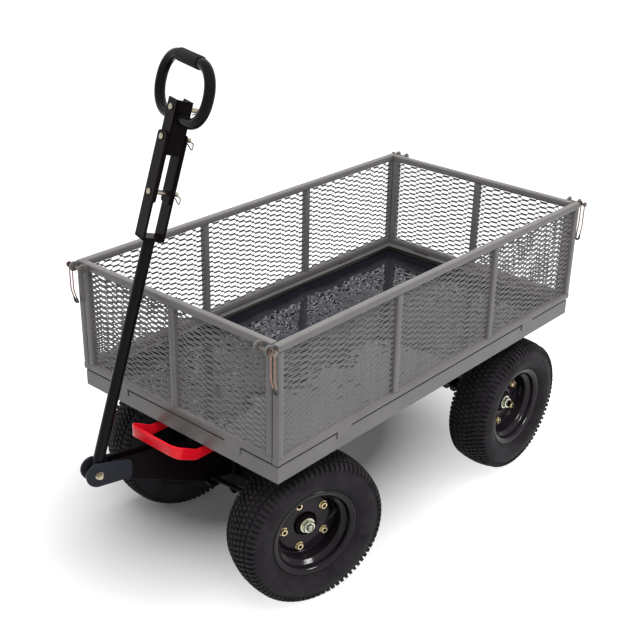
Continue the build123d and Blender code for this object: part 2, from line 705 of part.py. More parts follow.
# Latch plates: at each corner one stands on the end panel and one on the side panel's end
with BuildPart() as latch_ears:
    for side, way in corners.values():
        for ear_x in (panel_ear_x, post_ear_x):
            ear = facing_left(side * ear_x - ear_plate / 2, bed_y + way * end_face_y, latch_z)
            tip = way * latch_out
            plate(ear, [(0, -latch_ear), (tip, -latch_ear), (tip, latch_ear), (0, 7)], ear_plate)
            rod(place(ear, (tip, 0, 0)), latch_ear, ear_plate)
            rod(place(ear, (tip, 0, -1)), latch_radius + running_gap, ear_plate + 2, Mode.SUBTRACT)
save(latch_ears.part, "latch_ears")


def make_corner_pin(side, way):
    """Make the pin that ties two panels together at one corner."""
    start = Plane(
        origin=(side * 288.0, bed_y + way * (end_face_y + latch_out), latch_z),
        x_dir=(0, 0, 1), z_dir=(side, 0, 0))
    with BuildPart() as corner_pin:
        rod(start, latch_radius, 62.0)
        rod(place(start, (0, 0, 42.4)), 7.0, 2.2)
        rod(place(start, (0, 0, 60.6)), 6.0, 2.5)
    return corner_pin.part


def make_corner_bail(side, way):
    """Make the wire bail that hangs from one corner pin, with its dipped end."""
    pivot_y = bed_y + way * (end_face_y + latch_out)
    tip_y = bed_y + way * (end_face_y + 6.5)
    legs = [side * leg for leg in bail_legs]
    with BuildPart() as bail:
        for leg in legs:
            pipe(facing_left(leg - bail_wire, pivot_y, latch_z), 7.6, 3.4, 2 * bail_wire)
        with BuildLine() as bail_path:
            Polyline(
                (legs[0], pivot_y, latch_z - 5.9), (legs[0], pivot_y, latch_z - bail_drop + 38),
                (legs[0], tip_y, latch_z - bail_drop), (legs[1], tip_y, latch_z - bail_drop),
                (legs[1], pivot_y, latch_z - bail_drop + 38), (legs[1], pivot_y, latch_z - 5.9))
        with BuildSketch(Plane(origin=bail_path.line @ 0, z_dir=bail_path.line % 0)) as wire:
            RegularPolygon(bail_wire, 8)
        sweep(wire.sketch, path=bail_path.line, transition=Transition.RIGHT)
        slope = (tip_y - pivot_y) / 38.0
        sleeve = facing_left(min(legs) - 3.0, tip_y, latch_z - bail_drop)
        plate(sleeve, [(-3.5, -4), (3.5, -4), (3.5 - slope * 22, 22), (-3.5 - slope * 22, 22)], 17.0)
    return bail.part


for corner, (side, way) in corners.items():
    save(make_corner_pin(side, way), f"corner_pin_{corner}")
    save(make_corner_bail(side, way), f"corner_bail_{corner}")
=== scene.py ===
import json
import logging
from abc import ABC, abstractmethod
from dataclasses import dataclass, field
from enum import Enum
from math import cos, pi, radians, sin

import bmesh
import bpy
import numpy as np
from mathutils import Matrix
from numpy.typing import ArrayLike

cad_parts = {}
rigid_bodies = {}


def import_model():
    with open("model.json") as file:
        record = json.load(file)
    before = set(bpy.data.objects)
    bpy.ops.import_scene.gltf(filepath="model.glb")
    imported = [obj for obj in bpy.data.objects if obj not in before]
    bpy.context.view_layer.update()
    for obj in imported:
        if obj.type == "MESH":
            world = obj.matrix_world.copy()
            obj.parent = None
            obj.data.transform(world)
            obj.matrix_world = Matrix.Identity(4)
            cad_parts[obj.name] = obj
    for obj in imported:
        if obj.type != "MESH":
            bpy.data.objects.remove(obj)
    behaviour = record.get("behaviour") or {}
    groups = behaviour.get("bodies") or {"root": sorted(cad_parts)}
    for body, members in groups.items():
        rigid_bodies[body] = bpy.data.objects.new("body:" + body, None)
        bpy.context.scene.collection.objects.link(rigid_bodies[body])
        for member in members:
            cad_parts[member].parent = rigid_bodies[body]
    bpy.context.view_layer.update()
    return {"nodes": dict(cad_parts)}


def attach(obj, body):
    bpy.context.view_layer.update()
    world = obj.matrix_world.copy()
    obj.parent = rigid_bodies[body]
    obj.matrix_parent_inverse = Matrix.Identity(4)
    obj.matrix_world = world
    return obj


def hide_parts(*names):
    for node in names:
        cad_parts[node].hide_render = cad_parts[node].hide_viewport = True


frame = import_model()

# The cart's lengths are millimetres, and MM turns them into the frame's metres. The studio is in metres.
MM = 0.001
TURN = 2 * pi
WELD = 1e-6
WHITE = (1.0, 1.0, 1.0, 1.0)
Array = np.ndarray
Socket = bpy.types.NodeSocket
Pair = tuple[float, float]
Triple = tuple[float, float, float]
LOG = logging.getLogger("dump_cart")

UP = np.array((0.0, 0.0, 1.0))
STEER = radians(17.0)
FORWARD = np.array((-sin(STEER), -cos(STEER), 0.0))
LATERAL = np.array((cos(STEER), -sin(STEER), 0.0))

# Places that several sub-assemblies share
BED_Y = 82.683
BED_WIDTH, BED_LENGTH = 676.0, 1246.0
SIDE_FACE, END_FACE = 341.0, 626.0
STEER_Y = BED_Y - 430.0


class Corner(Enum):
    """The cart's four corners: a name, the side (+1 left) and the end (+1 rear)."""

    FRONT_LEFT = ("front_left", 1, -1)
    FRONT_RIGHT = ("front_right", -1, -1)
    REAR_LEFT = ("rear_left", 1, 1)
    REAR_RIGHT = ("rear_right", -1, 1)

    def __init__(self, label: str, side: int, end: int) -> None:
        """Keep the name as the frame spells it, the side and the end."""
        self.label, self.side, self.end = label, side, end


class Wall(Enum):
    """The four removable panels: a name and the way that the outer face looks."""

    FRONT = ("front", (0.0, -1.0, 0.0))
    REAR = ("rear", (0.0, 1.0, 0.0))
    LEFT = ("left", (1.0, 0.0, 0.0))
    RIGHT = ("right", (-1.0, 0.0, 0.0))

    def __init__(self, label: str, outward: Triple) -> None:
        """Keep the name as the frame spells it and the outward direction."""
        self.label, self.outward = label, np.array(outward)

    @property
    def is_side(self) -> bool:
        """True for the two long panels."""
        return self in (Wall.LEFT, Wall.RIGHT)


class Crease(Enum):
    """How far an edge turns, in degrees, before it stays crisp."""

    STRAND = 25.0
    NUT = 30.0
    PLATE = 38.0
    TURNED = 50.0


# Surfaces

def unit(vectors: Array) -> Array:
    """Scale vectors to length one along the last axis."""
    return vectors / np.linalg.norm(vectors, axis=-1, keepdims=True)


@dataclass(frozen=True)
class Axes:
    """A point and three directions that a piece is measured in."""

    origin: Array
    x: Array
    y: Array
    z: Array

    def at(self, points: ArrayLike) -> Array:
        """Carry points (..., 3) to the cart: the origin plus each coordinate times its direction."""
        points = np.asarray(points, float)
        return self.origin + points[..., :1] * self.x + points[..., 1:2] * self.y + points[..., 2:3] * self.z

    def moved(self, *point: float) -> "Axes":
        """Give the same directions from another point, told in these axes."""
        return Axes(self.at(point), self.x, self.y, self.z)

    def rolled(self) -> "Axes":
        """Give the axes that have y, z and x for x, y and z."""
        return Axes(self.origin, self.y, self.z, self.x)


@dataclass(frozen=True)
class Shell:
    """Points and faces of one or more surfaces, in millimetres."""

    points: Array
    faces: tuple[Array, ...]


def join(*shells: Shell) -> Shell:
    """Gather several shells into one, renumbering their faces."""
    starts = np.cumsum([0] + [len(shell.points) for shell in shells[:-1]])
    return Shell(np.concatenate([shell.points for shell in shells]),
                 tuple(block + start for shell, start in zip(shells, starts) for block in shell.faces))


def loft(rings: Array, wrap: bool = False) -> Shell:
    """Skin stacks of closed rings: points i and i+1 of rings j and j+1 make one four-sided face.

    Args:
        rings: Rings of points, shape (rings, points, 3), or many such stacks along leading axes.
        wrap: Join the last ring to the first; otherwise a flat face closes each end.

    Returns:
        The skinned shell.
    """
    stacks = rings.reshape(-1, *rings.shape[-3:])
    count, height, around = stacks.shape[:3]
    j, i = np.meshgrid(np.arange(height if wrap else height - 1), np.arange(around), indexing="ij")
    up, beside = (j + 1) % height, (i + 1) % around
    quads = np.stack([j * around + i, j * around + beside, up * around + beside, up * around + i], -1)
    start = np.arange(count)[:, None, None] * (height * around)
    faces = [(quads.reshape(1, -1, 4) + start).reshape(-1, 4)]
    if not wrap:
        ends = np.stack([np.arange(around)[::-1], (height - 1) * around + np.arange(around)])
        faces.append((ends[None] + start).reshape(-1, around))
    return Shell(stacks.reshape(-1, 3), tuple(faces))


def carry(profile: Array, path: Array, across: Array, closed: bool = False) -> Array:
    """Carry a profile along a path.

    Ring j is path[j] + u * side + v * other. The direction at a point halves the angle of its two
    runs, side is the across direction made square to it, and other is their cross product.

    Args:
        profile: Points (u, v) of one closed outline, shape (m, 2), or one outline per path point.
        path: Points of the path, shape (n, 3).
        across: The direction that u follows.
        closed: The path's end joins its start.

    Returns:
        Rings of shape (n, m, 3).
    """
    runs = unit(np.diff(np.vstack([path, path[:1]]) if closed else path, axis=0))
    if closed:
        along = unit(runs + np.roll(runs, 1, 0))
    else:
        along = unit(np.vstack([runs[:1], runs[:-1] + runs[1:], runs[-1:]]))
    side = unit(across - (along @ across)[:, None] * along)
    other = np.cross(along, side)
    outlines = np.broadcast_to(profile, (len(path), *np.shape(profile)[-2:]))
    return path[:, None] + outlines[..., :1] * side[:, None] + outlines[..., 1:] * other[:, None]


def eased(points: ArrayLike, radius: ArrayLike, steps: int, closed: bool = False) -> Array:
    """Round the corners of a run of points with circular arcs.

    A corner p between a and b, both a cut away from it, becomes
    ((1-t)^2 a + 2t(1-t) w p + t^2 b) / ((1-t)^2 + 2t(1-t) w + t^2), with w = |b - a| / (2 cut).

    Args:
        points: Corners in two or three dimensions.
        radius: How far back along each edge the rounding starts, at most 0.49 of the edge, or a
            column of one such length per corner.
        steps: Points on each rounded corner.
        closed: The last corner joins the first.

    Returns:
        The rounded run of points.
    """
    points = np.asarray(points, float)
    before, after = np.roll(points, 1, 0) - points, np.roll(points, -1, 0) - points
    reach = [np.linalg.norm(edge, axis=1, keepdims=True) for edge in (before, after)]
    cut = np.minimum(radius, 0.49 * np.minimum(*reach))
    a, b = points + before / reach[0] * cut, points + after / reach[1] * cut
    weight = np.linalg.norm(b - a, axis=1)[:, None, None] / (2 * cut[:, None])
    t = np.linspace(0, 1, steps)[None, :, None]
    first, middle, last = (1 - t) ** 2, 2 * t * (1 - t) * weight, t ** 2
    curve = (first * a[:, None] + middle * points[:, None] + last * b[:, None]) / (first + middle + last)
    if closed:
        return curve.reshape(-1, points.shape[1])
    inner = curve[1:-1].reshape(-1, points.shape[1])
    return np.vstack([points[:1], inner, points[-1:]])


def circle(radius: float, steps: int = 12) -> Array:
    """Give a circle's points: (r cos t, r sin t)."""
    t = np.arange(steps) * TURN / steps
    return radius * np.stack([np.cos(t), np.sin(t)], -1)


def hexagon(radius: float) -> Array:
    """Give a hexagon's corners and edge middles: twelve points at r and r cos 30 in turn."""
    return circle(radius) * np.where(np.arange(12) % 2, cos(pi / 6), 1.0)[:, None]


def rounded_box(width: float, height: float, radius: float, steps: int = 4) -> Array:
    """Give a rectangle's outline with rounded corners."""
    half = np.array((width, height)) / 2
    return eased(np.array(((-1, -1), (1, -1), (1, 1), (-1, 1))) * half, radius, steps, closed=True)


def inset(outline: Array, amount: float) -> Array:
    """Draw an outline in: each corner moves along (n1 + n2) / (1 + n1.n2), n being its edges' inward normals.

    Args:
        outline: Corners in order against the clock, shape (m, 2).
        amount: How far each edge moves in.

    Returns:
        The smaller outline.
    """
    edge = unit(np.roll(outline, -1, 0) - outline)
    inward = np.stack([-edge[:, 1], edge[:, 0]], -1)
    last = np.roll(inward, 1, 0)
    share = 1 + np.sum(inward * last, axis=1, keepdims=True)
    return outline + amount * (inward + last) / share


def slab(outline: Array, axes: Axes, low: float, high: float, ease: float = 0.9) -> Shell:
    """Make a flat plate with eased edges: the outline at four depths, drawn in at the first and last.

    Args:
        outline: Corners against the clock in the axes' x and y.
        axes: Where the plate lies; z is its thickness.
        low: Depth of one face.
        high: Depth of the other face.
        ease: Width of the eased edge.

    Returns:
        The closed plate.
    """
    small = inset(outline, ease)
    depths = (low, low + ease, high - ease, high)
    flats = (small, outline, outline, small)
    rings = [np.column_stack([flat, np.full(len(flat), depth)]) for flat, depth in zip(flats, depths)]
    return loft(axes.at(np.stack(rings)))


def bar(ends: Array, width: float, height: float, radius: float,
        across: Array = UP, ease: float = 0.8) -> Shell:
    """Make a straight bar: a rounded rectangle carried from end to end, drawn in at both ends.

    Args:
        ends: Middles of the two ends, shape (2, 3).
        width: Size along the across direction.
        height: Size square to it.
        radius: Rounding of the long edges.
        across: Direction of the width.
        ease: Size of the eased rim at each end.

    Returns:
        The closed bar.
    """
    start, end = ends
    profile = rounded_box(width, height, radius)
    small = profile * (1 - 2 * ease / np.array((width, height)))
    reach = np.linalg.norm(end - start)
    share = np.array((0, ease, reach - ease, reach))[:, None] / reach
    path = start + share * (end - start)
    return loft(carry(np.stack([small, profile, profile, small]), path, across))


def tube(path: Array, radius: float, across: Array, steps: int, closed: bool = False) -> Shell:
    """Make round wire or tube: a circle carried along a path."""
    return loft(carry(circle(radius, steps), path, across, closed), wrap=closed)


def turn(profile: ArrayLike, axes: Axes, steps: int) -> Shell:
    """Turn a closed outline about an axle: (a, r) at angle t is a x + r (cos t y + sin t z).

    Args:
        profile: Points (along, radius), shape (m, 2).
        axes: The axle: its middle, its direction x and two directions square to it.
        steps: Steps round the turn.

    Returns:
        The turned shell.
    """
    profile = np.asarray(profile, float)
    t = np.arange(steps)[:, None] * TURN / steps
    along = np.broadcast_to(profile[:, 0], (steps, len(profile)))
    points = np.stack([along, profile[:, 1] * np.cos(t), profile[:, 1] * np.sin(t)], -1)
    return loft(axes.at(points), wrap=True)


def stud(steps: tuple[tuple, ...], axes: Axes) -> Shell:
    """Skin outlines set along an axle, each told as its distance, circle or hexagon, and radius."""
    rings = [np.column_stack([np.full(12, along), shape(radius)]) for along, shape, radius in steps]
    return loft(axes.at(np.stack(rings)))


# Finishes

class NodeSheet:
    """One material's nodes, with short calls to add and join them."""

    MIX_SHARE, MIX_FIRST, MIX_SECOND, MIX_RESULT = 0, 6, 7, 2

    def __init__(self, name: str) -> None:
        """Start a material with its shader and the object's own coordinates.

        Args:
            name: The material's name.
        """
        self.material = bpy.data.materials.new(name)
        self.material.use_nodes = True
        self.tree = self.material.node_tree
        self.shader = self.tree.nodes["Principled BSDF"]
        self.place = self.add("ShaderNodeTexCoord").outputs["Object"]

    def add(self, kind: str, **values: object) -> bpy.types.Node:
        """Add a node and feed it.

        Args:
            kind: Blender's name of the node.
            values: Socket values, or output sockets to link from.

        Returns:
            The new node.
        """
        node = self.tree.nodes.new(kind)
        self.feed(node, **values)
        return node

    def feed(self, node: bpy.types.Node, **values: object) -> None:
        """Set or link a node's input sockets.

        Args:
            node: The node to feed.
            values: Values or output sockets by the input's name, with _ for a space.
        """
        for key, value in values.items():
            socket = node.inputs[key.replace("_", " ")]
            if isinstance(value, Socket):
                self.tree.links.new(value, socket)
            else:
                socket.default_value = value

    def noise(self, scale: float, detail: float, rough: float = 0.55, place: Socket | None = None) -> Socket:
        """Give a cloudy value from 0 to 1 at a scale in cycles per metre."""
        return self.add("ShaderNodeTexNoise", Vector=place or self.place, Scale=scale, Detail=detail,
                        Roughness=rough).outputs["Fac"]

    def spread(self, value: Socket, low: float, high: float, span: Pair = (0.3, 0.7)) -> Socket:
        """Stretch a value from span to low..high."""
        return self.add("ShaderNodeMapRange", Value=value, From_Min=span[0], From_Max=span[1],
                        To_Min=low, To_Max=high).outputs["Result"]

    def blend(self, share: Socket, first: Triple, second: Triple) -> Socket:
        """Mix two colours.

        Args:
            share: The second colour's share.
            first: The colour at share 0.
            second: The colour at share 1.

        Returns:
            The mixed colour.
        """
        node = self.add("ShaderNodeMix")
        node.data_type = "RGBA"
        node.inputs[self.MIX_FIRST].default_value = (*first, 1.0)
        node.inputs[self.MIX_SECOND].default_value = (*second, 1.0)
        self.tree.links.new(share, node.inputs[self.MIX_SHARE])
        return node.outputs[self.MIX_RESULT]


@dataclass(frozen=True)
class Finish(ABC):
    """A surface finish, made once and shared by the pieces that take it."""

    slot: str
    dark: Triple
    light: Triple
    kind: str = "plain"
    rough: float = 0.3

    # How far the roughness strays from its middle, and the part of the cloud that mixes the tones
    STRAY, SPAN = (0.0, 0.0), (0.3, 0.7)

    @abstractmethod
    def dress(self, sheet: NodeSheet) -> None:
        """Fill in the material's nodes."""

    def lay(self, sheet: NodeSheet, cloud: Socket, skin: Socket, depth: float, **values: object) -> None:
        """Mix the two tones, and roughen and raise the skin.

        Args:
            sheet: The material's nodes.
            cloud: A slow cloud that mixes the tones.
            skin: A fine cloud that roughens and raises the skin.
            depth: How high the skin stands, in metres.
            values: Further values of the shader.
        """
        low, high = self.STRAY
        share = sheet.spread(cloud, 0.0, 1.0, self.SPAN)
        normal = sheet.add("ShaderNodeBump", Height=skin, Distance=depth, Strength=1.0).outputs["Normal"]
        sheet.feed(sheet.shader, Base_Color=sheet.blend(share, self.dark, self.light), Normal=normal,
                   Roughness=sheet.spread(skin, self.rough + low, self.rough + high), **values)

    def material(self) -> bpy.types.Material:
        """Give the finish's material, making it the first time.

        Returns:
            The material.
        """
        name = f"finish_{self.slot}_{self.kind}"
        if name not in bpy.data.materials:
            self.dress(NodeSheet(name))
        return bpy.data.materials[name]


@dataclass(frozen=True)
class PowderCoat(Finish):
    """Baked powder paint: a cloudy tone, an orange-peel skin and a little sheen."""

    rough: float = 0.42
    gloss: float = 0.5
    peel: float = 0.00012
    peel_scale: float = 520.0
    peel_detail: float = 2.0
    ior: float = 1.5

    STRAY = (-0.05, 0.07)
    CLOUD = (9.0, 4.0)

    def dress(self, sheet: NodeSheet) -> None:
        """Mix the tones by a slow cloud, and roughen the skin by a fine one."""
        cloud, peel = sheet.noise(*self.CLOUD), sheet.noise(self.peel_scale, self.peel_detail)
        self.lay(sheet, cloud, peel, self.peel, IOR=self.ior, Specular_IOR_Level=self.gloss)


@dataclass(frozen=True)
class Rubber(Finish):
    """Moulded rubber: dull, with fine grain and slightly dusty patches."""

    rough: float = 0.62
    gloss: float = 0.4
    grain: float = 0.0002
    grain_scale: float = 900.0

    STRAY, SPAN = (-0.06, 0.1), (0.35, 0.75)
    DUST, GRAIN_DETAIL = (22.0, 5.0, 0.65), 3.0

    def dress(self, sheet: NodeSheet) -> None:
        """Mix the tones by a patchy cloud, and roughen the skin with grain."""
        dust, grain = sheet.noise(*self.DUST), sheet.noise(self.grain_scale, self.GRAIN_DETAIL)
        self.lay(sheet, dust, grain, self.grain, Specular_IOR_Level=self.gloss)


@dataclass(frozen=True)
class Plating(Finish):
    """Zinc plate: bright metal whose tint drifts, with fine scratches."""

    STRAY = (-0.08, 0.14)
    DRIFT = (120.0, 4.0)
    SCRATCH, STRETCH, DEPTH = (1800.0, 2.0, 0.6), (1.0, 1.0, 0.08), 0.00003

    def dress(self, sheet: NodeSheet) -> None:
        """Drift between the tints, and roughen the skin with stretched scratches."""
        stretch = sheet.add("ShaderNodeMapping", Vector=sheet.place, Scale=self.STRETCH).outputs["Vector"]
        self.lay(sheet, sheet.noise(*self.DRIFT), sheet.noise(*self.SCRATCH, stretch), self.DEPTH,
                 Metallic=1.0)


GREY = PowderCoat("grey_powder", (0.134, 0.127, 0.125), (0.165, 0.156, 0.153), rough=0.34, gloss=0.4,
                  peel=0.0001)
FLOOR = PowderCoat("floor_grey", (0.01, 0.0113, 0.0165), (0.017, 0.019, 0.0255), rough=0.055, peel=0.0006,
                   peel_scale=40.0, peel_detail=0.0, ior=2.2)
SATIN = PowderCoat("satin_black", (0.0046, 0.0027, 0.0034), (0.0066, 0.0042, 0.0051), rough=0.3, gloss=0.035,
                   peel=0.00008)
ENAMEL = PowderCoat("satin_black", (0.004, 0.0037, 0.0047), (0.006, 0.0056, 0.007), kind="enamel", rough=0.2,
                    gloss=0.075, peel=0.00003)
# A lighter copy of the satin black for the clevis ears: painted light, where the ears catch light from the
# side
SATIN_PAINTED_LIGHT = PowderCoat("satin_black", (0.016, 0.018, 0.025), (0.024, 0.027, 0.036), kind="forged", rough=0.34,
                    gloss=0.1)
GLOSS = PowderCoat("gloss_black", (0.006, 0.0045, 0.0062), (0.009, 0.0072, 0.0092), rough=0.12, gloss=0.13,
                   peel=0.00003, peel_scale=160.0)
RED = PowderCoat("red_powder", (0.86, 0.006, 0.018), (0.95, 0.008, 0.024), rough=0.3, gloss=0.3, peel=0.00006)
TYRE = Rubber("tyre_rubber", (0.0135, 0.0113, 0.0136), (0.034, 0.0302, 0.0348), gloss=0.1)
FOAM = Rubber("grip_foam", (0.011, 0.0105, 0.012), (0.018, 0.0175, 0.019), rough=0.78, gloss=0.12,
              grain=0.0006, grain_scale=650.0)
DIP = PowderCoat("grip_foam", (0.008, 0.008, 0.009), (0.014, 0.014, 0.015), kind="dipped", rough=0.34)
GOLD = Plating("yellow_zinc", (0.6, 0.47, 0.24), (0.8, 0.7, 0.46))
PALE = Plating("yellow_zinc", (0.34, 0.3, 0.22), (0.5, 0.45, 0.35), kind="pale", rough=0.26)
COPPER = Plating("yellow_zinc", (0.17, 0.11, 0.085), (0.3, 0.2, 0.155), kind="copper", rough=0.28)
ZINC = Plating("bright_zinc", (0.52, 0.53, 0.44), (0.72, 0.72, 0.6))
DULL = Plating("bright_zinc", (0.15, 0.135, 0.125), (0.25, 0.225, 0.205), kind="dull", rough=0.42)


def enter(name: str, data: bpy.types.ID) -> bpy.types.Object:
    """Make an object and link it into the scene.

    Args:
        name: The object's name.
        data: Its mesh, lamp or camera.

    Returns:
        The new object.
    """
    thing = bpy.data.objects.new(name, data)
    bpy.context.scene.collection.objects.link(thing)
    return thing


def present(name: str, shell: Shell, body: str, finish: Finish, *replaced: str,
            crease: Crease = Crease.PLATE, bevel: float = 0.0) -> None:
    """Put a shell into the scene as a finished piece.

    Args:
        name: The piece's name.
        shell: Its surface in millimetres.
        body: The frame's body that it rides on.
        finish: Its finish.
        replaced: The frame's nodes that it stands for.
        crease: Which edges stay crisp.
        bevel: Width in millimetres of a live bevel on crisp edges, or 0 for none.
    """
    mesh = bpy.data.meshes.new(name)
    faces = [face for block in shell.faces for face in block.tolist()]
    mesh.from_pydata((shell.points * MM).tolist(), [], faces)
    work = bmesh.new()
    work.from_mesh(mesh)
    bmesh.ops.remove_doubles(work, verts=work.verts, dist=WELD)
    bmesh.ops.recalc_face_normals(work, faces=work.faces)
    work.to_mesh(mesh)
    work.free()
    mesh.polygons.foreach_set("use_smooth", np.ones(len(mesh.polygons), bool))
    mesh.set_sharp_from_angle(angle=radians(crease.value))
    mesh.materials.append(finish.material())
    piece = enter(name, mesh)
    if bevel:
        soft = piece.modifiers.new("soft_edges", "BEVEL")
        soft.width = bevel * MM
        soft.segments = 2
        soft.limit_method = "ANGLE"
        soft.angle_limit = radians(crease.value)
        soft.harden_normals = True
    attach(piece, body)
    if replaced:
        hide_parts(*replaced)
    LOG.info("%s: %d faces on %s", name, len(mesh.polygons), body)


def dress_node(node: str, finish: Finish) -> None:
    """Give one of the frame's own nodes a finish.

    Args:
        node: The node's name.
        finish: The finish.
    """
    piece = frame["nodes"][node]
    if not piece.material_slots:
        piece.data.materials.append(finish.material())
    for holder in piece.material_slots:
        holder.material = finish.material()
    LOG.info("%s keeps its solid, in %s", node, finish.slot)


# Sub-assemblies. Their tables of points are (along the axle, radius) where a piece is turned.

@dataclass
class Wheel:
    """One pneumatic wheel: tyre, pressed rim, hub, lug nuts, valve and axle nut."""

    corner: Corner
    track_half: float = 285.0
    rear_y: float = BED_Y + 400.0
    front_y: float = BED_Y - 415.0
    axle_z: float = 198.0
    kingpin_x: float = 153.0
    stub_reach: float = 120.0
    block_count: int = 80
    block_height: float = 6.5
    block_root: float = 1.5
    block_top: float = 0.8
    shoulder: Triple = (55.0, 22.0, 9.0)
    crown: Triple = (15.5, 11.6, 9.8)
    crown_slant: float = 0.4
    lug_count: int = 5
    lug_circle: float = 62.5
    lug_turn: float = radians(20.0)
    valve_turn: float = radians(-78.0)

    # The tyre's outer line, from the middle of the crown to the bead
    SKIN = eased((
        (0, 191.5), (20, 190.4), (40, 187.1), (50, 184.2), (56.5, 180.0), (61.0, 172.0), (64.2, 163.0),
        (66.0, 153.0), (65.2, 143.0), (62.0, 133.5), (57.0, 126.0), (51.5, 122.4), (50.6, 119.0),
        (46.0, 119.0), (46.0, 104.0)), 7.0, 4)
    SHOULDER_HEIGHTS = (0.85, 1.0, 1.0, 0.95, 0.85, 0.2)
    CROWN_HEIGHTS = (0.8, 0.95, 0.95, 0.8)
    RIM = eased((
        (-50.0, 118), (-46.1, 118), (-46.1, 103.9), (-31, 102.9), (-23, 90), (23, 90), (31, 102.9),
        (46.1, 103.9), (46.1, 118), (50.0, 118), (50.0, 112), (46.6, 103.5), (43, 100.9), (33, 99.9),
        (25, 86.5), (-8, 86.5), (0, 74), (0, 31), (-4, 31), (-4, 71), (-14, 86.5), (-25, 86.5),
        (-33, 99.9), (-50.0, 100.9)), 3.6, 5, closed=True)
    HUB = eased((
        (-55, 10.05), (-55, 25), (-13, 30), (-13, 68), (-4, 68), (-4, 30.5), (4.5, 30.5), (9, 24),
        (9, 10.05)), 1.6, 4, closed=True)
    LUG_NUT = ((0, circle, 11.2), (1.6, circle, 11.2), (1.8, hexagon, 10.2), (5.6, hexagon, 10.2),
               (8.0, circle, 8.0), (8.0, circle, 5.4), (3.0, circle, 5.2))
    STUD_END = ((1.0, circle, 5.1), (4.4, circle, 5.1), (5.0, circle, 4.2))
    WASHER = ((9.3, 10.1), (9.3, 19.4), (9.8, 20.0), (11.3, 20.0), (11.8, 19.4), (11.8, 10.1))
    AXLE_NUT = ((11.8, hexagon, 16.2), (12.6, hexagon, 17.0), (19.6, hexagon, 17.0), (21.8, circle, 14.2),
                (21.8, circle, 10.15), (24.2, circle, 10.15), (25.0, circle, 8.8))
    # Along the axle, distance from it, radius of the stem
    VALVE = ((4.0, 88.0, 6.0), (10.0, 80.0, 5.2), (20.0, 62.0, 4.4), (20.3, 61.5, 3.4), (25.0, 53.0, 3.4))

    @property
    def axes(self) -> Axes:
        """Find the axle.

        Returns:
            Axes from the wheel's middle, with x outward and y up.
        """
        side = self.corner.side
        if self.corner.end > 0:
            outward = np.array((side, 0.0, 0.0))
            centre = np.array((side * self.track_half, self.rear_y, self.axle_z))
        else:
            outward = side * LATERAL
            centre = np.array((side * self.kingpin_x, self.front_y, self.axle_z)) + self.stub_reach * outward
        return Axes(centre, outward, UP, np.cross(outward, UP))

    def put(self, name: str, shell: Shell, finish: Finish, *nodes: str,
            crease: Crease = Crease.PLATE) -> None:
        """Put a piece on the wheel's body, with the corner's name after its own and its nodes'."""
        ends = [f"{word}_{self.corner.label}" for word in (name, "wheel", *nodes)]
        present(ends[0], shell, ends[1], finish, *ends[2:], crease=crease)

    def tread(self, middle: float, reach: float, width: float, skew: float, phase: float,
              ends: tuple[float, ...]) -> Shell:
        """Raise one row of tread blocks.

        A block runs over distances s along the tyre's section. At s it is a four-cornered ring, from its
        root under the skin to its height above it, width wide round the tyre, and skewed by skew
        millimetres round the tyre for each millimetre of s.

        Args:
            middle: Distance of the row's middle from the crown, along the section.
            reach: Length of a block along the section.
            width: Width of a block round the tyre.
            skew: Slant of a block.
            phase: Start of the row, in pitches.
            ends: Share of the full height at each ring.

        Returns:
            All the blocks of the row.
        """
        half = self.SKIN
        line = np.vstack([half[:0:-1] * (-1, 1), half])
        run = np.concatenate([[0], np.cumsum(np.linalg.norm(np.diff(line, axis=0), axis=1))])
        run -= run[len(half) - 1]
        heights = np.array(ends)
        s = middle + np.linspace(-0.5, 0.5, len(heights)) * reach
        before, across, after = (
            np.stack([np.interp(place, run, line[:, k]) for k in (0, 1)], -1) for place in (s - 1, s, s + 1))
        slope = unit(after - before)
        normal = np.stack([-slope[:, 1], slope[:, 0]], -1)
        rise = np.stack([np.full_like(s, -self.block_root), heights * self.block_height], -1)[:, [0, 1, 1, 0]]
        sway = width / 2 * np.array((-1.0, -self.block_top, self.block_top, 1.0))
        a, r = (across[:, k:k + 1] + normal[:, k:k + 1] * rise for k in (0, 1))
        angle = (sway + skew * (s - middle)[:, None]) / across[:, 1:]
        t = angle + (np.arange(self.block_count)[:, None, None] + phase) * TURN / self.block_count
        points = np.stack([np.broadcast_to(a, t.shape), r * np.cos(t), r * np.sin(t)], -1)
        return loft(self.axes.at(points))

    def build_tyre(self) -> None:
        """Turn the carcass and join two rows of shoulder lugs and five rows of crown blocks to it."""
        half = self.SKIN
        shells = [turn(np.vstack([half[::-1] * (-1, 1), half[1:]]), self.axes, 120)]
        middle, reach, width = self.shoulder
        for side in (-1, 1):
            heights = self.SHOULDER_HEIGHTS[::side]
            shells.append(self.tread(side * middle, reach, width, 0.0, 0.25 * (1 + side), heights))
        pitch, reach, width = self.crown
        for row in range(-2, 3):
            slant = -self.crown_slant * np.sign(row)
            shells.append(self.tread(row * pitch, reach, width, slant, 0.5 * (row % 2), self.CROWN_HEIGHTS))
        self.put("treaded_tyre", join(*shells), TYRE, "tyre")

    def build_rim(self) -> None:
        """Turn the pressed rim with its rolled lips, stepped barrel and deep-set disc, and the hub barrel."""
        rim, hub = turn(self.RIM, self.axes, 128), turn(self.HUB, self.axes, 64)
        self.put("pressed_rim", rim, GLOSS, "wheel_rim", crease=Crease.TURNED)
        self.put("hub_barrel", hub, SATIN, "wheel_hub", crease=Crease.TURNED)

    def build_lugs(self) -> None:
        """Skin the lug nuts, each a washer, a hexagon and a bore, and black stud ends inside them that paint
        the shade in the bores.
        """
        angles = self.lug_turn + np.arange(self.lug_count) * TURN / self.lug_count
        seats = [self.axes.moved(0.0, self.lug_circle * cos(t), self.lug_circle * sin(t)) for t in angles]
        nuts, studs = ([stud(steps, seat) for seat in seats] for steps in (self.LUG_NUT, self.STUD_END))
        self.put("lug_nuts", join(*nuts), GOLD, "lug_bolts", crease=Crease.NUT)
        # The black stud ends paint the shade that falls inside each nut's bore
        self.put("stud_ends", join(*studs), SATIN)

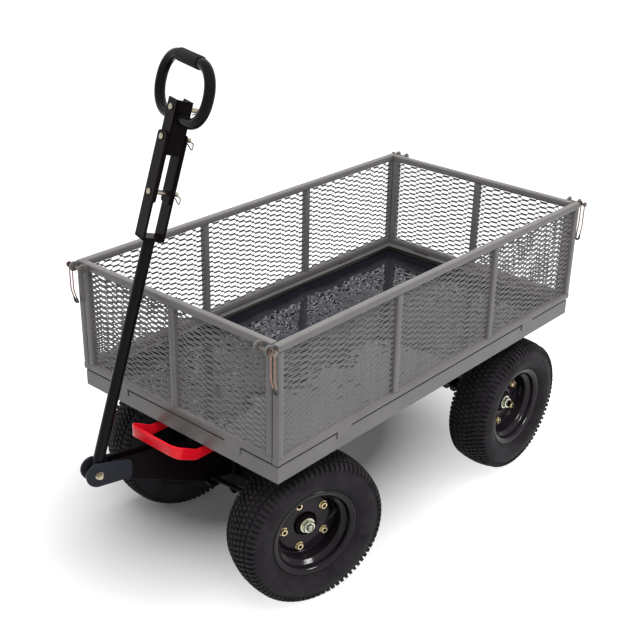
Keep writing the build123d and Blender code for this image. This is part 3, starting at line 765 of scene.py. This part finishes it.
    def build_valve(self) -> None:
        """Carry a tapering circle along the valve stem, from the rim's barrel toward the hub."""
        along, out, width = np.array(self.VALVE).T
        path = np.column_stack([along, out * cos(self.valve_turn), out * sin(self.valve_turn)])
        rings = carry(width[:, None, None] * circle(1.0, 14), self.axes.at(path), self.axes.x)
        self.put("valve_stem", loft(rings), TYRE)

    def axle_nut(self) -> Shell:
        """Skin the washer, the chamfered nut and the end of the stub axle."""
        return join(turn(self.WASHER, self.axes, 40), stud(self.AXLE_NUT, self.axes))

    def build(self) -> None:
        """Build the parts that turn with the wheel."""
        self.build_tyre()
        self.build_rim()
        self.build_lugs()
        self.build_valve()


@dataclass
class ExpandedMesh:
    """Raised expanded metal: leaning strands that step up and down and meet along flat bonds."""

    cell: float = 62.5
    flats: Triple = (19.0, 6.0, 19.0)
    short_way: float = 14.5
    strand: float = 3.65
    sheet: float = 1.3
    lean: float = 26.0
    least_run: float = 0.5

    def strands(self, width: float, height: float) -> Array:
        """Give every strand of one window, as rings in (across, up, outward).

        Strand j steps between bond rows j and j+1. In one cell it keeps to its row for a long flat, to the
        next row for a short flat and to its row for a long flat, and each next cell and strand starts on
        the other row. With share h of the way up, its middle lies at row + w/2 + h (pitch - w) and stands
        out by d (2h - 1), where w and d are the leaning strand's height and half depth. Its ring is the
        strand's four-cornered section, leaning so that its upper edge lies inward.

        Args:
            width: The window's size across.
            height: The window's size up.

        Returns:
            Rings of shape (strands, samples, 4, 3), from the window's lower left corner.
        """
        rows = max(2, round(2 * height / self.short_way))
        pitch = height / rows
        step = (self.cell - sum(self.flats)) / 3
        starts = np.cumsum((0.0, self.flats[0] + step, self.flats[1] + step))
        cells = np.arange(int(width / self.cell) + 2)[:, None]
        knots = (cells * self.cell + np.stack([starts, starts + self.flats], -1).ravel()).ravel()
        levels = ((cells + (0, 0, 1, 1, 0, 0)) % 2).ravel()
        across = np.append(knots[knots < width - self.least_run], width)
        share = np.interp(across, knots, levels)
        h = np.where(np.arange(rows)[:, None] % 2, 1 - share, share)
        a = radians(self.lean)
        tall, deep = self.strand * cos(a), self.strand * sin(a)
        up = np.arange(rows)[:, None] * pitch + tall / 2 + h * (pitch - tall)
        out = deep / 2 * (2 * h - 1)
        wide, thick = np.array((-1, 1, 1, -1)) * self.strand / 2, np.array((-1, -1, 1, 1)) * self.sheet / 2
        ring_up = wide * cos(a) + thick * sin(a)
        ring_out = -wide * sin(a) + thick * cos(a)
        across = np.broadcast_to(across[None, :, None], (*h.shape, 4))
        return np.stack([across, up[..., None] + ring_up, out[..., None] + ring_out], -1)


@dataclass
class Panel:
    """One removable panel: a welded frame of square tube with expanded mesh in its windows."""

    wall: Wall
    tube: float = 19.0
    rounding: float = 4.0
    bottom: float = 474.5
    top: float = 773.5
    gap: float = 1.5
    weld: float = 0.4
    butt: float = 0.02
    tab: Triple = (50.0, 24.5, 2.8)
    tab_drop: float = 7.25
    side_tabs: float = 0.32 * BED_LENGTH
    end_tabs: float = 0.29 * BED_WIDTH
    foot: Triple = (5.5, 12.0, 0.8)
    foot_place: Pair = (-1.75, -10.0)
    mesh: ExpandedMesh = field(default_factory=ExpandedMesh)

    @property
    def axes(self) -> Axes:
        """The outer face: x along the panel, y up it, z outward, from the middle of its foot."""
        out, reach = self.wall.outward, SIDE_FACE if self.wall.is_side else END_FACE
        return Axes(np.array((0.0, BED_Y, self.bottom)) + reach * out, np.cross(UP, out), UP, out)

    @property
    def length(self) -> float:
        """The panel's length."""
        return 2 * END_FACE if self.wall.is_side else 2 * (SIDE_FACE - self.tube - self.gap)

    @property
    def posts(self) -> Array:
        """Middles of the posts along the panel, the end posts included."""
        half = (self.length - self.tube) / 2
        return np.linspace(-half, half, 4 if self.wall.is_side else 3)

    def build_frame(self) -> None:
        """Weld rails, posts and the tabs that lap over the bed's band."""
        axes, tube, half, height = self.axes, self.tube, self.tube / 2, self.top - self.bottom
        reach = self.length / 2
        shells = []
        for level in (half, height - half):
            ends = axes.at(((-reach, level, -half), (reach, level, -half)))
            shells.append(bar(ends, tube, tube, self.rounding))
        low, high = tube - self.weld, height - tube + self.weld
        for post in self.posts:
            ends = axes.at(((post, low, -half), (post, high, -half)))
            shells.append(bar(ends, tube, tube, self.rounding, axes.x, self.butt))
        spread = self.side_tabs if self.wall.is_side else self.end_tabs
        wide, tall, thick = self.tab
        for at in (-spread, spread):
            plate = rounded_box(wide, tall, 2.0)
            shells.append(slab(plate, axes.moved(at, -self.tab_drop, 0), -thick, 0.05, 0.5))
            ends = axes.at(((at - wide / 2, *self.foot_place), (at + wide / 2, *self.foot_place)))
            shells.append(bar(ends, *self.foot))
        name = self.wall.label
        present(f"welded_frame_{name}", join(*shells), "bed", GREY, f"panel_frame_{name}")

    def build_mesh(self) -> None:
        """Fill each window between posts with mesh, at the middle of the tube."""
        half, height = self.tube / 2, self.top - self.bottom - 2 * self.tube
        shells = []
        for left, right in zip(self.posts[:-1], self.posts[1:]):
            strands = self.mesh.strands(right - left - self.tube, height)
            shells.append(loft(self.axes.moved(left + half, self.tube, -half).at(strands)))
        name = self.wall.label
        present(f"expanded_mesh_{name}", join(*shells), "bed", GREY, f"panel_mesh_{name}",
                crease=Crease.STRAND)

    def build(self) -> None:
        """Build the frame and its mesh."""
        self.build_frame()
        self.build_mesh()


@dataclass
class Bed:
    """The tipping bed: a ring of channel and a sheet floor."""

    low: float = 427.0
    high: float = 470.0
    sheet: float = 3.0
    flange: float = 25.0
    bevel: float = 1.3
    floor_z: float = 447.2
    floor_sheet: float = 2.0
    floor_margin: float = 6.0
    floor_grid: tuple[int, int] = (70, 130)
    ripple: float = 1.1
    waves: tuple[Triple, ...] = ((2.1, 1.3, 0.0), (-1.9, 3.4, 2.0), (4.3, 2.6, 4.0))

    def build_band(self) -> None:
        """Carry the channel's section round the bed: a mitred ring at each corner."""
        w, d, s = self.flange, self.high - self.low, self.sheet
        section = np.array(((0, 0), (0, d), (w, d), (w, d - s), (s, d - s), (s, s), (w, s), (w, 0)), float)
        signs = np.array(((1, 1), (-1, 1), (-1, -1), (1, -1)))
        half = np.array((BED_WIDTH, BED_LENGTH)) / 2
        flat = signs[:, None] * (half - section[None, :, :1])
        upright = np.broadcast_to(section[None, :, 1:] + self.low, (4, len(section), 1))
        ring = loft(np.concatenate([flat, upright], -1) + (0, BED_Y, 0), wrap=True)
        present("bed_band", ring, "bed", GREY, "bed_rim", bevel=self.bevel)

    def build_floor(self) -> None:
        """Lay the sheet floor, whose height over (x, y) is a sum of three slow waves.

        It is ripple times the mean of sin(a x + b y + c) over the waves (a, b, c), with x and y in
        hundreds of millimetres.
        """
        wide, long = BED_WIDTH / 2 - self.floor_margin, BED_LENGTH / 2 - self.floor_margin
        columns, rows = self.floor_grid
        x, y = np.meshgrid(np.linspace(-wide, wide, columns), np.linspace(-long, long, rows))
        wave = sum(np.sin(a * (x / 100) + b * (y / 100) + c) for a, b, c in self.waves)
        z = self.floor_z + self.ripple * wave / len(self.waves)
        top, under = (np.stack([x, y + BED_Y, z - drop], -1) for drop in (0.0, self.floor_sheet))
        floor = loft(np.concatenate([top, under[:, ::-1]], 1))
        present("sheet_floor", floor, "bed", FLOOR, "bed_floor", crease=Crease.TURNED)

    def build(self) -> None:
        """Build the band and floor, and dress the frame under them."""
        self.build_band()
        self.build_floor()
        dress_node("bed_underframe", SATIN)
        dress_node("release_rod", ZINC)


@dataclass
class Latches:
    """The corner latches: plates on the panels, a pin through each pair and a wire bail outside it."""

    level: float = 765.0
    stand_out: float = 17.0
    plate_radius: float = 12.5
    plate: float = 4.0
    plate_back: float = 7.0
    plate_places: Pair = (296.0, 328.0)
    wire: float = 1.7
    eye: float = 5.8
    legs: Pair = (335.5, 346.5)
    leg_top: float = 5.9
    leg_bend: float = 5.0
    bend: float = 66.0
    drop: float = 104.0
    tip_gap: float = 6.5
    dip_share: float = 0.62
    dip_radii: Pair = (3.1, 2.2)

    PIN = ((288.0, 0), (288.0, 3.0), (289.2, 4.0), (330.4, 4.0), (330.4, 7), (332.6, 7), (332.6, 4.0),
           (348.6, 4.0), (348.6, 6), (350.4, 6), (351.1, 5.2), (351.1, 0))

    def axes(self, corner: Corner) -> Axes:
        """The pin's line: x outward across the cart, y away from the panel, z up."""
        place = np.array((0.0, BED_Y + corner.end * (END_FACE + self.stand_out), self.level))
        return Axes(place, np.array((corner.side, 0.0, 0.0)), np.array((0.0, corner.end, 0.0)), UP)

    def build_plates(self) -> None:
        """Cut the eight rounded latch plates."""
        t = np.linspace(-pi / 2, pi / 2 + 0.35, 14)
        nose = self.plate_radius * np.stack([np.cos(t), np.sin(t)], -1)
        back = -self.stand_out
        outline = np.vstack([((back, -self.plate_radius),), nose, ((back, self.plate_back),)])
        half = self.plate / 2
        flats = [self.axes(corner).moved(place, 0, 0).rolled()
                 for corner in Corner for place in self.plate_places]
        plates = [slab(outline, flat, -half, half, 0.6) for flat in flats]
        present("latch_plates", join(*plates), "bed", GREY, "latch_ears")

    def build_pin(self, corner: Corner) -> None:
        """Turn one pin with its collar and headed end."""
        name = f"corner_pin_{corner.label}"
        present(f"latch_pin_{corner.label}", turn(self.PIN, self.axes(corner), 24), name, DULL, name)

    def build_bail(self, corner: Corner) -> None:
        """Bend one bail: two eyes on the pin, two legs with a dog-leg and a dipped end.

        Args:
            corner: The corner that it hangs on.
        """
        axes, body = self.axes(corner), f"corner_bail_{corner.label}"
        tip, foot = self.tip_gap - self.stand_out, -self.drop
        eyes = [turn(circle(self.wire, 10) + (leg, self.eye), axes, 24) for leg in self.legs]
        leg = np.array(((0, 0, -self.leg_top), (0, 0, -self.bend), (0, tip, foot)))
        dip = self.dip_share
        sleeve = np.array(((0, tip * dip, -self.bend - (self.drop - self.bend) * dip), (0, tip, foot)))
        inner, outer = (np.array((place, 0, 0)) for place in self.legs)
        wire, cover = (np.vstack([line + inner, line[::-1] + outer]) for line in (leg, sleeve))
        bail = tube(axes.at(eased(wire, self.leg_bend, 6)), self.wire, axes.y, 10)
        present(f"wire_bail_{corner.label}", join(*eyes, bail), body, COPPER, body)
        line = eased(cover, self.leg_bend, 7)
        swell = np.full(len(line), self.dip_radii[0])
        swell[[0, -1]] = self.dip_radii[1]
        rings = carry(circle(1.0)[None] * swell[:, None, None], axes.at(line), axes.y)
        present(f"dipped_end_{corner.label}", loft(rings), body, DIP)

    def build(self) -> None:
        """Build the plates, pins and bails."""
        self.build_plates()
        for corner in Corner:
            self.build_pin(corner)
            self.build_bail(corner)


@dataclass
class PullHandle:
    """The pull handle: tube, fork, folding bracket, grip loop, sleeve, pins and clips."""

    lean: float = radians(16.4)
    reach: float = 370.0
    clevis_z: float = 340.0
    tube_radius: float = 14.0
    tube_knots: Pair = (8.0, 300.0)
    fork: Pair = (588.0, 834.0)
    fork_lift: float = 0.5
    fork_half: float = 22.5
    fork_plates: Triple = (24.0, 3.0, 0.8)
    fork_block: Triple = (45.0, 54.0, 1.5)
    block_tall: float = 8.0
    bracket: Pair = (675.0, 908.0)
    bracket_half: float = 21.0
    bracket_plates: Triple = (17.9, 2.5, 0.7)
    web: Triple = (5.0, 39.8, 1.0)
    web_place: Pair = (18.5, 786.0)
    loop: Pair = (868.0, 997.0)
    loop_half: float = 117.0
    loop_bend: float = 62.0
    loop_radius: float = 12.5
    pins: tuple[Pair, ...] = ((697.0, 27.0), (822.0, 27.0), (889.0, 20.4))
    pin_gap: float = 0.2
    clip_place: float = 62.8
    clip_wire: float = 1.4

    EYE = ((-15.5, 6.05), (-15.5, 15), (-14.5, 16), (14.5, 16), (15.5, 15), (15.5, 6.05))
    SLEEVE = ((-50, 12.6), (-50, 14.3), (-49.4, 15.2), (-48, 15.5), (48, 15.5), (49.4, 15.2), (50, 14.3),
              (50, 12.6))
    PIN = ((-4, 0), (-3.8, 4), (-2.8, 6.6), (-0.8, 7.2), (0, 6.8), (0, 5.5), (70.4, 5.5), (72, 3.9), (72, 0))
    CLIP = ((-14, 0, 0), (24, 0, 0), (33.5, 0, 0), (33.5, 14.5, 0), (24, 13.5, 0), (9, 7.2, 0), (0, 7.4, 0),
            (-8, 9.0, 0), (-14, 13, 0))
    SHANK = ((-34, circle, 5.0), (-33, circle, 6.0), (33, circle, 6.0), (34, circle, 5.0))
    HEAD = ((22.2, circle, 10.4), (23.6, circle, 10.4), (23.7, hexagon, 9.4), (28.6, hexagon, 9.4),
            (30.2, circle, 7.4))
    NUT = ((22.2, hexagon, 11.0), (30.0, hexagon, 11.0), (31.2, circle, 9.0))

    @property
    def axes(self) -> Axes:
        """The handle's own directions from the clevis: x across, y back, z along it."""
        along = UP * cos(self.lean) - FORWARD * sin(self.lean)
        return Axes(np.array((0.0, STEER_Y, self.clevis_z)) + self.reach * FORWARD,
                    LATERAL, np.cross(along, LATERAL), along)

    def plates(self, outline: Array, depth: float, half: float, ease: float) -> list[Shell]:
        """Cut two plates of a half thickness, at a depth before and behind the handle's middle."""
        flats = [Axes(self.axes.at((0, place, 0)), self.axes.x, self.axes.z, -self.axes.y)
                 for place in (-depth, depth)]
        return [slab(outline, flat, -half, half, ease) for flat in flats]

    def build_tube(self) -> None:
        """Carry a circle up the tube and turn the eye that the clevis bolt goes through."""
        axes = self.axes
        path = axes.at([(0, 0, knot) for knot in (*self.tube_knots, self.fork[0])])
        shaft = tube(path, self.tube_radius, axes.x, 36)
        present("pull_tube", join(shaft, turn(self.EYE, axes, 40)), "handle", ENAMEL, "handle_tube")

    def build_fork(self) -> None:
        """Cut two fork plates with rounded tops and the block that joins them to the tube."""
        (low, high), half = self.fork, self.fork_half
        block = bar(self.axes.at(((0, 0, low), (0, 0, low + self.block_tall))), *self.fork_block, self.axes.x)
        left, right = (-half, low + self.fork_lift), (half, low + self.fork_lift)
        top = eased((right, (half, high), (-half, high), left), 9.0, 7)[1:-1]
        plates = self.plates(np.vstack([left, right, top]), *self.fork_plates)
        present("fork_plates", join(block, *plates), "handle", SATIN, "handle_fork")

    def build_bracket(self) -> None:
        """Cut the two folding plates and the web that joins them."""
        (low, high), half = self.bracket, self.bracket_half
        outline = eased(((-half, high), (-half, low), (half, low), (half, high)), 8.0, 7)
        plates = self.plates(outline, *self.bracket_plates)
        across, start = self.web_place
        web = bar(self.axes.at(((across, 0, start), (across, 0, high))), *self.web, self.axes.x)
        present("folding_bracket", join(*plates, web), "handle", SATIN, "grip_bracket")

    def build_loop(self) -> None:
        """Carry a circle round the closed grip loop, and turn the foam sleeve on its crossbar."""
        axes, (low, high), half = self.axes, self.loop, self.loop_half
        corners = ((-half, 0, high), (half, 0, high), (half, 0, low), (-half, 0, low))
        path = axes.at(eased(corners, self.loop_bend, 16, closed=True))
        present("grip_ring", tube(path, self.loop_radius, axes.y, 28, True), "handle", ENAMEL, "grip_loop")
        sleeve = turn(self.SLEEVE, axes.moved(0, 0, high), 40)
        present("foam_sleeve", sleeve, "handle", FOAM, "grip_sleeve")

    def build_pins(self) -> None:
        """Turn the headed pins and bend a hairpin clip behind each."""
        axes = self.axes
        pins, clips = [], []
        for at, seat in self.pins:
            pins.append(turn(self.PIN, axes.moved(0, -seat - self.pin_gap, at).rolled(), 28))
            flat = Axes(axes.at((0, self.clip_place - seat, at)), axes.x, -axes.z, axes.y)
            clips.append(tube(flat.at(eased(self.CLIP, 7.0, 6)), self.clip_wire, flat.z, 10))
        present("headed_pins", join(*pins), "handle", PALE, "hitch_pins")
        present("hairpins", join(*clips), "handle", DULL, "hairpin_clips")

    def build_clevis_bolt(self) -> None:
        """Skin the clevis bolt: a shank with a chamfered head and nut."""
        axes = self.axes
        back = Axes(axes.origin, -axes.x, axes.y, -axes.z)
        bolt = join(stud(self.SHANK, axes), stud(self.HEAD, axes), stud(self.NUT, back))
        present("clevis_bolt_set", bolt, "tongue", PALE, "clevis_bolt", crease=Crease.NUT)

    def build(self) -> None:
        """Build the handle from the clevis up."""
        self.build_tube()
        self.build_fork()
        self.build_bracket()
        self.build_loop()
        self.build_pins()
        self.build_clevis_bolt()


@dataclass
class Tongue:
    """The steering tongue: pivot sleeve, tapering channel, clevis ears and the tie-rod lug."""

    half: float = 16.0
    plate: float = 6.0
    floor: Triple = (5.8, 30.0, 1.0)
    ear_middle: Pair = (370.0, 340.0)
    ear_radius: float = 32.0
    ear_span: Pair = (-98.0, 80.0)
    lug: Triple = (86.0, 30.0, 8.0)
    lug_plate: float = 8.0
    lug_place: Pair = (75.0, 224.4)

    # Points forward of the pivot and up from the ground
    SIDE = ((12, 226), (90, 226), (300, 305), (334, 305), (334, 365), (95, 365), (45, 357), (12, 357))
    FLOOR_LINE = ((13, 229, 0), (89.4, 229, 0), (299.4, 308, 0), (333, 308, 0))
    EAR_ROOT = ((320, 362.5), (286, 360), (286, 308), (320, 310.5))
    SLEEVE = ((218.4, 8.05), (218.4, 19), (219.4, 20), (357.6, 20), (358.6, 19), (358.6, 8.05))

    def build(self) -> None:
        """Cut the side plates, fold the floor, turn the sleeve and add the ears and lug."""
        pivot, half, plate = np.array((0.0, STEER_Y, 0.0)), self.half, self.plate
        axes = Axes(pivot, FORWARD, UP, -LATERAL)
        t = np.radians(np.linspace(*self.ear_span, 22))
        nose = np.array(self.ear_middle) + self.ear_radius * np.stack([np.cos(t), np.sin(t)], -1)
        ear = np.vstack([eased(self.EAR_ROOT, 11.0, 6)[1:-1], nose])
        ears = [slab(ear, axes, low, low + plate) for low in (-half - plate, half)]
        # The ears take the lighter copy of the satin black, as painted light
        present("clevis_ears", join(*ears), "tongue", SATIN_PAINTED_LIGHT, "tongue")
        side = eased(self.SIDE, 5.0, 5, closed=True)
        shells = [slab(side, axes, low, low + plate) for low in (-half, half - plate)]
        shells.append(loft(carry(rounded_box(*self.floor), axes.at(eased(self.FLOOR_LINE, 8.0, 4)), UP)))
        shells.append(turn(self.SLEEVE, Axes(pivot, UP, LATERAL, FORWARD), 40))
        forward, level = self.lug_place
        lug_axes = Axes(pivot + level * UP + forward * FORWARD, LATERAL, -FORWARD, UP)
        shells.append(slab(rounded_box(*self.lug, 6), lug_axes, 0.0, self.lug_plate))
        present("steering_tongue", join(*shells), "tongue", SATIN, "tongue")


@dataclass
class ReleaseLever:
    """The red strap that frees the bed, with its cross tube and hook."""

    half: float = 84.0
    thick: float = 5.0
    heights: Triple = (30.0, 27.6, 25.4)
    pivot_y: float = BED_Y - 572.0
    front_y: float = BED_Y - 699.0
    dip: float = 61.0
    dip_rise: float = 2.0
    tail: float = 10.0
    level: float = 397.0
    front_level: float = 431.5
    end_ease: float = 1.0
    hook_half: float = 9.0

    BENDS = np.array((9.0, 9.0, 24.0, 24.0, 9.0, 9.0))[:, None]
    BARREL = ((-82, 5.05), (-82, 9), (82, 9), (82, 5.05))
    HOOK = np.array(((-9, -24), (9, -24), (9, -18), (4, -11), (9, 0), (-9, 0)), float)

    def build(self) -> None:
        """Carry the strap's section, which tapers to the rear, up its two dipping arms and across the front.

        The height is a straight-line share between three places along the cart. The tube and hook are
        added.
        """
        half, front = self.half - self.thick / 2, self.front_y + self.thick / 2
        dip, rear, tall = self.pivot_y - self.dip, self.pivot_y + self.tail, self.heights[0]
        arm = np.array(((half, rear, self.level), (half, dip, self.level + self.dip_rise),
                        (half, front, self.front_level)))
        path = eased(np.vstack([arm * (-1, 1, 1), arm[::-1]]), self.BENDS, 9)
        share = np.interp(path[:, 1], (front, dip, rear), self.heights) / tall
        size = np.column_stack([share, np.ones(len(path))])
        size[[0, -1]] *= 1 - self.end_ease / np.array((tall, self.thick))
        strap = loft(carry(rounded_box(tall, self.thick, 1.6) * size[:, None], path, UP))
        present("release_strap", strap, "release", RED, "release_handle")
        line = Axes(np.array((0.0, self.pivot_y, self.level)), *np.eye(3))
        hook = slab(self.HOOK, line.rolled(), -self.hook_half, self.hook_half, 0.6)
        present("release_hook", join(turn(self.BARREL, line, 32), hook), "release", SATIN, "release_handle")


class RollingGear:
    """The chassis, axles and steering, which keep their solids, and the nuts on the stub axles."""

    BLACK = ("chassis_frame", "front_axle_beam", "rear_axle", "knuckle_left", "knuckle_right",
             "tie_rod_left", "tie_rod_right", "steering_bolts")

    def build(self, wheels: list[Wheel]) -> None:
        """Dress the solids and skin the axle nuts.

        Args:
            wheels: The four wheels, for the places of their axles.
        """
        for node in self.BLACK:
            dress_node(node, SATIN)
        dress_node("dump_hinge_pin", DULL)
        rear = [wheel.axle_nut() for wheel in wheels if wheel.corner.end > 0]
        present("axle_nuts_rear", join(*rear), "chassis", ZINC, "rear_axle_nuts", crease=Crease.NUT)
        for wheel in wheels:
            if wheel.corner.end < 0:
                side = "left" if wheel.corner.side > 0 else "right"
                present(f"axle_nut_{side}", wheel.axle_nut(), f"knuckle_{side}", ZINC,
                        f"axle_nut_front_{side}", crease=Crease.NUT)


# Studio

def stand(right: Array, up: Array, back: Array, place: ArrayLike) -> Matrix:
    """Give the matrix of a lamp or camera from its own directions and its place."""
    return Matrix(np.vstack([np.column_stack([right, up, back, place]), (0, 0, 0, 1)]))


def combine(tree: bpy.types.NodeTree, operation: str, first: Socket, second: Socket) -> Socket:
    """Join two values by arithmetic.

    Args:
        tree: The node tree to add to.
        operation: Blender's name of the step.
        first: One value.
        second: The other value.

    Returns:
        The joined value.
    """
    node = tree.nodes.new("ShaderNodeMath")
    node.operation = operation
    tree.links.new(first, node.inputs[0])
    tree.links.new(second, node.inputs[1])
    return node.outputs[0]


@dataclass(frozen=True)
class Softbox:
    """One soft lamp, aimed at a point, in metres and watts.

    Mirrors show the white surround instead of it, unless it lights only some pieces.
    """

    name: str
    place: Triple
    aim: Triple
    size: float
    watts: float
    only: str = ""

    def build(self) -> None:
        """Add the lamp, looking from its place to its aim."""
        lamp = bpy.data.lights.new(self.name, "AREA")
        lamp.shape = "SQUARE"
        lamp.size = self.size
        lamp.energy = self.watts
        holder = enter(self.name, lamp)
        holder.visible_glossy = bool(self.only)
        if self.only:
            lit = bpy.data.collections.new(f"lit_by_{self.name}")
            for piece in bpy.context.scene.objects:
                if piece.name.startswith(self.only):
                    lit.objects.link(piece)
            holder.light_linking.receiver_collection = lit
        back = unit(np.array(self.place) - np.array(self.aim))
        right = unit(np.cross((0.1, 1.0, 0.0), back))
        holder.matrix_world = stand(right, np.cross(back, right), back, self.place)


@dataclass
class Studio:
    """Camera, pale floor, white surround and soft lamps."""

    eye: Triple = (1.7596, -2.0508, 1.8223)
    azimuth: float = radians(41.02)
    elevation: float = radians(25.38)
    roll: float = radians(1.19)
    lens: float = 62.995
    sensor: float = 36.0
    sight: float = 100.0
    ambient: float = 0.36
    ground: tuple[float, ...] = (0.42, 0.42, 0.425, 1.0)
    ground_rough: float = 0.9
    ground_reach: float = 40.0
    ground_drop: float = 0.0006
    # Painted shadow: an oval under the cart where the floor's white glow is cut back, given by its middle,
    # reach and fade
    painted_shade_middle: Pair = (-0.22, 0.045)
    painted_shade_reach: Pair = (0.36, 0.6)
    whiteness: Pair = (0.04, 0.95)
    painted_shade_fade: Pair = (0.68, 1.75)
    lamps: tuple[Softbox, ...] = (
        Softbox("key_lamp", (0.35, 0.0, 3.4), (0.0, 0.0, 0.3), 4.2, 172.0),
        Softbox("side_lamp", (2.9, -1.4, 1.5), (0.0, 0.0, 0.6), 2.2, 25.0),
        Softbox("rim_lamp", (2.9, 0.4, 1.55), (0.3, 0.0, 0.2), 0.75, 125.0, "pressed_rim"))

    def build_camera(self) -> None:
        """Set the camera at the photograph's place: back, right and up from azimuth, elevation and roll."""
        a, e, r = self.azimuth, self.elevation, self.roll
        back = np.array((sin(a) * cos(e), -cos(a) * cos(e), sin(e)))
        right = unit(np.cross(-back, UP))
        up = np.cross(right, -back)
        camera = bpy.data.cameras.new("photo_camera")
        camera.lens = self.lens
        camera.sensor_width = self.sensor
        camera.clip_end = self.sight
        viewer = enter("photo_camera", camera)
        viewer.matrix_world = stand(
            cos(r) * right + sin(r) * up, -sin(r) * right + cos(r) * up, back, self.eye)
        bpy.context.scene.camera = viewer

    @staticmethod
    def seen(tree: bpy.types.NodeTree) -> Socket:
        """Give 1 for the eye's own rays and mirrored or bent ones, and 0 for rays that only carry light."""
        path = tree.nodes.new("ShaderNodeLightPath").outputs
        return combine(tree, "MAXIMUM", path["Is Transmission Ray"],
                       combine(tree, "MAXIMUM", path["Is Camera Ray"], path["Is Glossy Ray"]))

    def build_surround(self) -> None:
        """Make the world white to the eye and softer as light."""
        world = bpy.data.worlds.new("white_surround")
        world.use_nodes = True
        tree = world.node_tree
        shown, lit = tree.nodes["Background"], tree.nodes.new("ShaderNodeBackground")
        shown.inputs["Color"].default_value = lit.inputs["Color"].default_value = WHITE
        shown.inputs["Strength"].default_value = 1.0
        lit.inputs["Strength"].default_value = self.ambient
        mix = tree.nodes.new("ShaderNodeMixShader")
        sources = (self.seen(tree), lit.outputs[0], shown.outputs[0])
        for source, socket in zip(sources, mix.inputs):
            tree.links.new(source, socket)
        tree.links.new(mix.outputs[0], tree.nodes["World Output"].inputs["Surface"])
        bpy.context.scene.world = world

    def build_ground(self) -> None:
        """Lay a broad pale floor that takes the cart's shadow from the lamps and glows white away from it,
        with the glow cut back inside an oval under the cart as a painted shadow.
        """
        sheet = NodeSheet("pale_floor")
        reach = np.append(1 / np.array(self.painted_shade_reach), 0.0)
        oval = sheet.add("ShaderNodeMapping", Vector=sheet.place, Scale=tuple(reach),
                         Location=tuple(-reach * (*self.painted_shade_middle, 0.0)))
        away = sheet.add("ShaderNodeVectorMath", Vector=oval.outputs["Vector"])
        away.operation = "LENGTH"
        # The glow is low inside the oval and full outside it, which paints a shadow under the cart
        white = sheet.spread(away.outputs["Value"], *self.whiteness, self.painted_shade_fade)
        shown = combine(sheet.tree, "MULTIPLY", white, self.seen(sheet.tree))
        sheet.feed(sheet.shader, Base_Color=self.ground, Roughness=self.ground_rough, Specular_IOR_Level=0.0,
                   Emission_Color=WHITE, Emission_Strength=shown)
        rim = np.column_stack([circle(self.ground_reach, 48), np.full(48, -self.ground_drop)])
        mesh = bpy.data.meshes.new("pale_floor")
        mesh.from_pydata(rim.tolist(), [], [list(range(len(rim)))])
        mesh.materials.append(sheet.material)
        enter("pale_floor", mesh)

    def build(self) -> None:
        """Set up the whole studio."""
        bpy.context.scene.view_settings.view_transform = "Standard"
        self.build_camera()
        self.build_surround()
        self.build_ground()
        for lamp in self.lamps:
            lamp.build()


def main() -> None:
    """Build the cart's looks piece by piece, then the studio."""
    logging.basicConfig(level=logging.INFO, format="%(message)s")
    wheels = [Wheel(corner) for corner in Corner]
    for wheel in wheels:
        wheel.build()
    for wall in Wall:
        Panel(wall).build()
    Bed().build()
    Latches().build()
    PullHandle().build()
    Tongue().build()
    ReleaseLever().build()
    RollingGear().build(wheels)
    Studio().build()


if __name__ == "__main__":
    main()
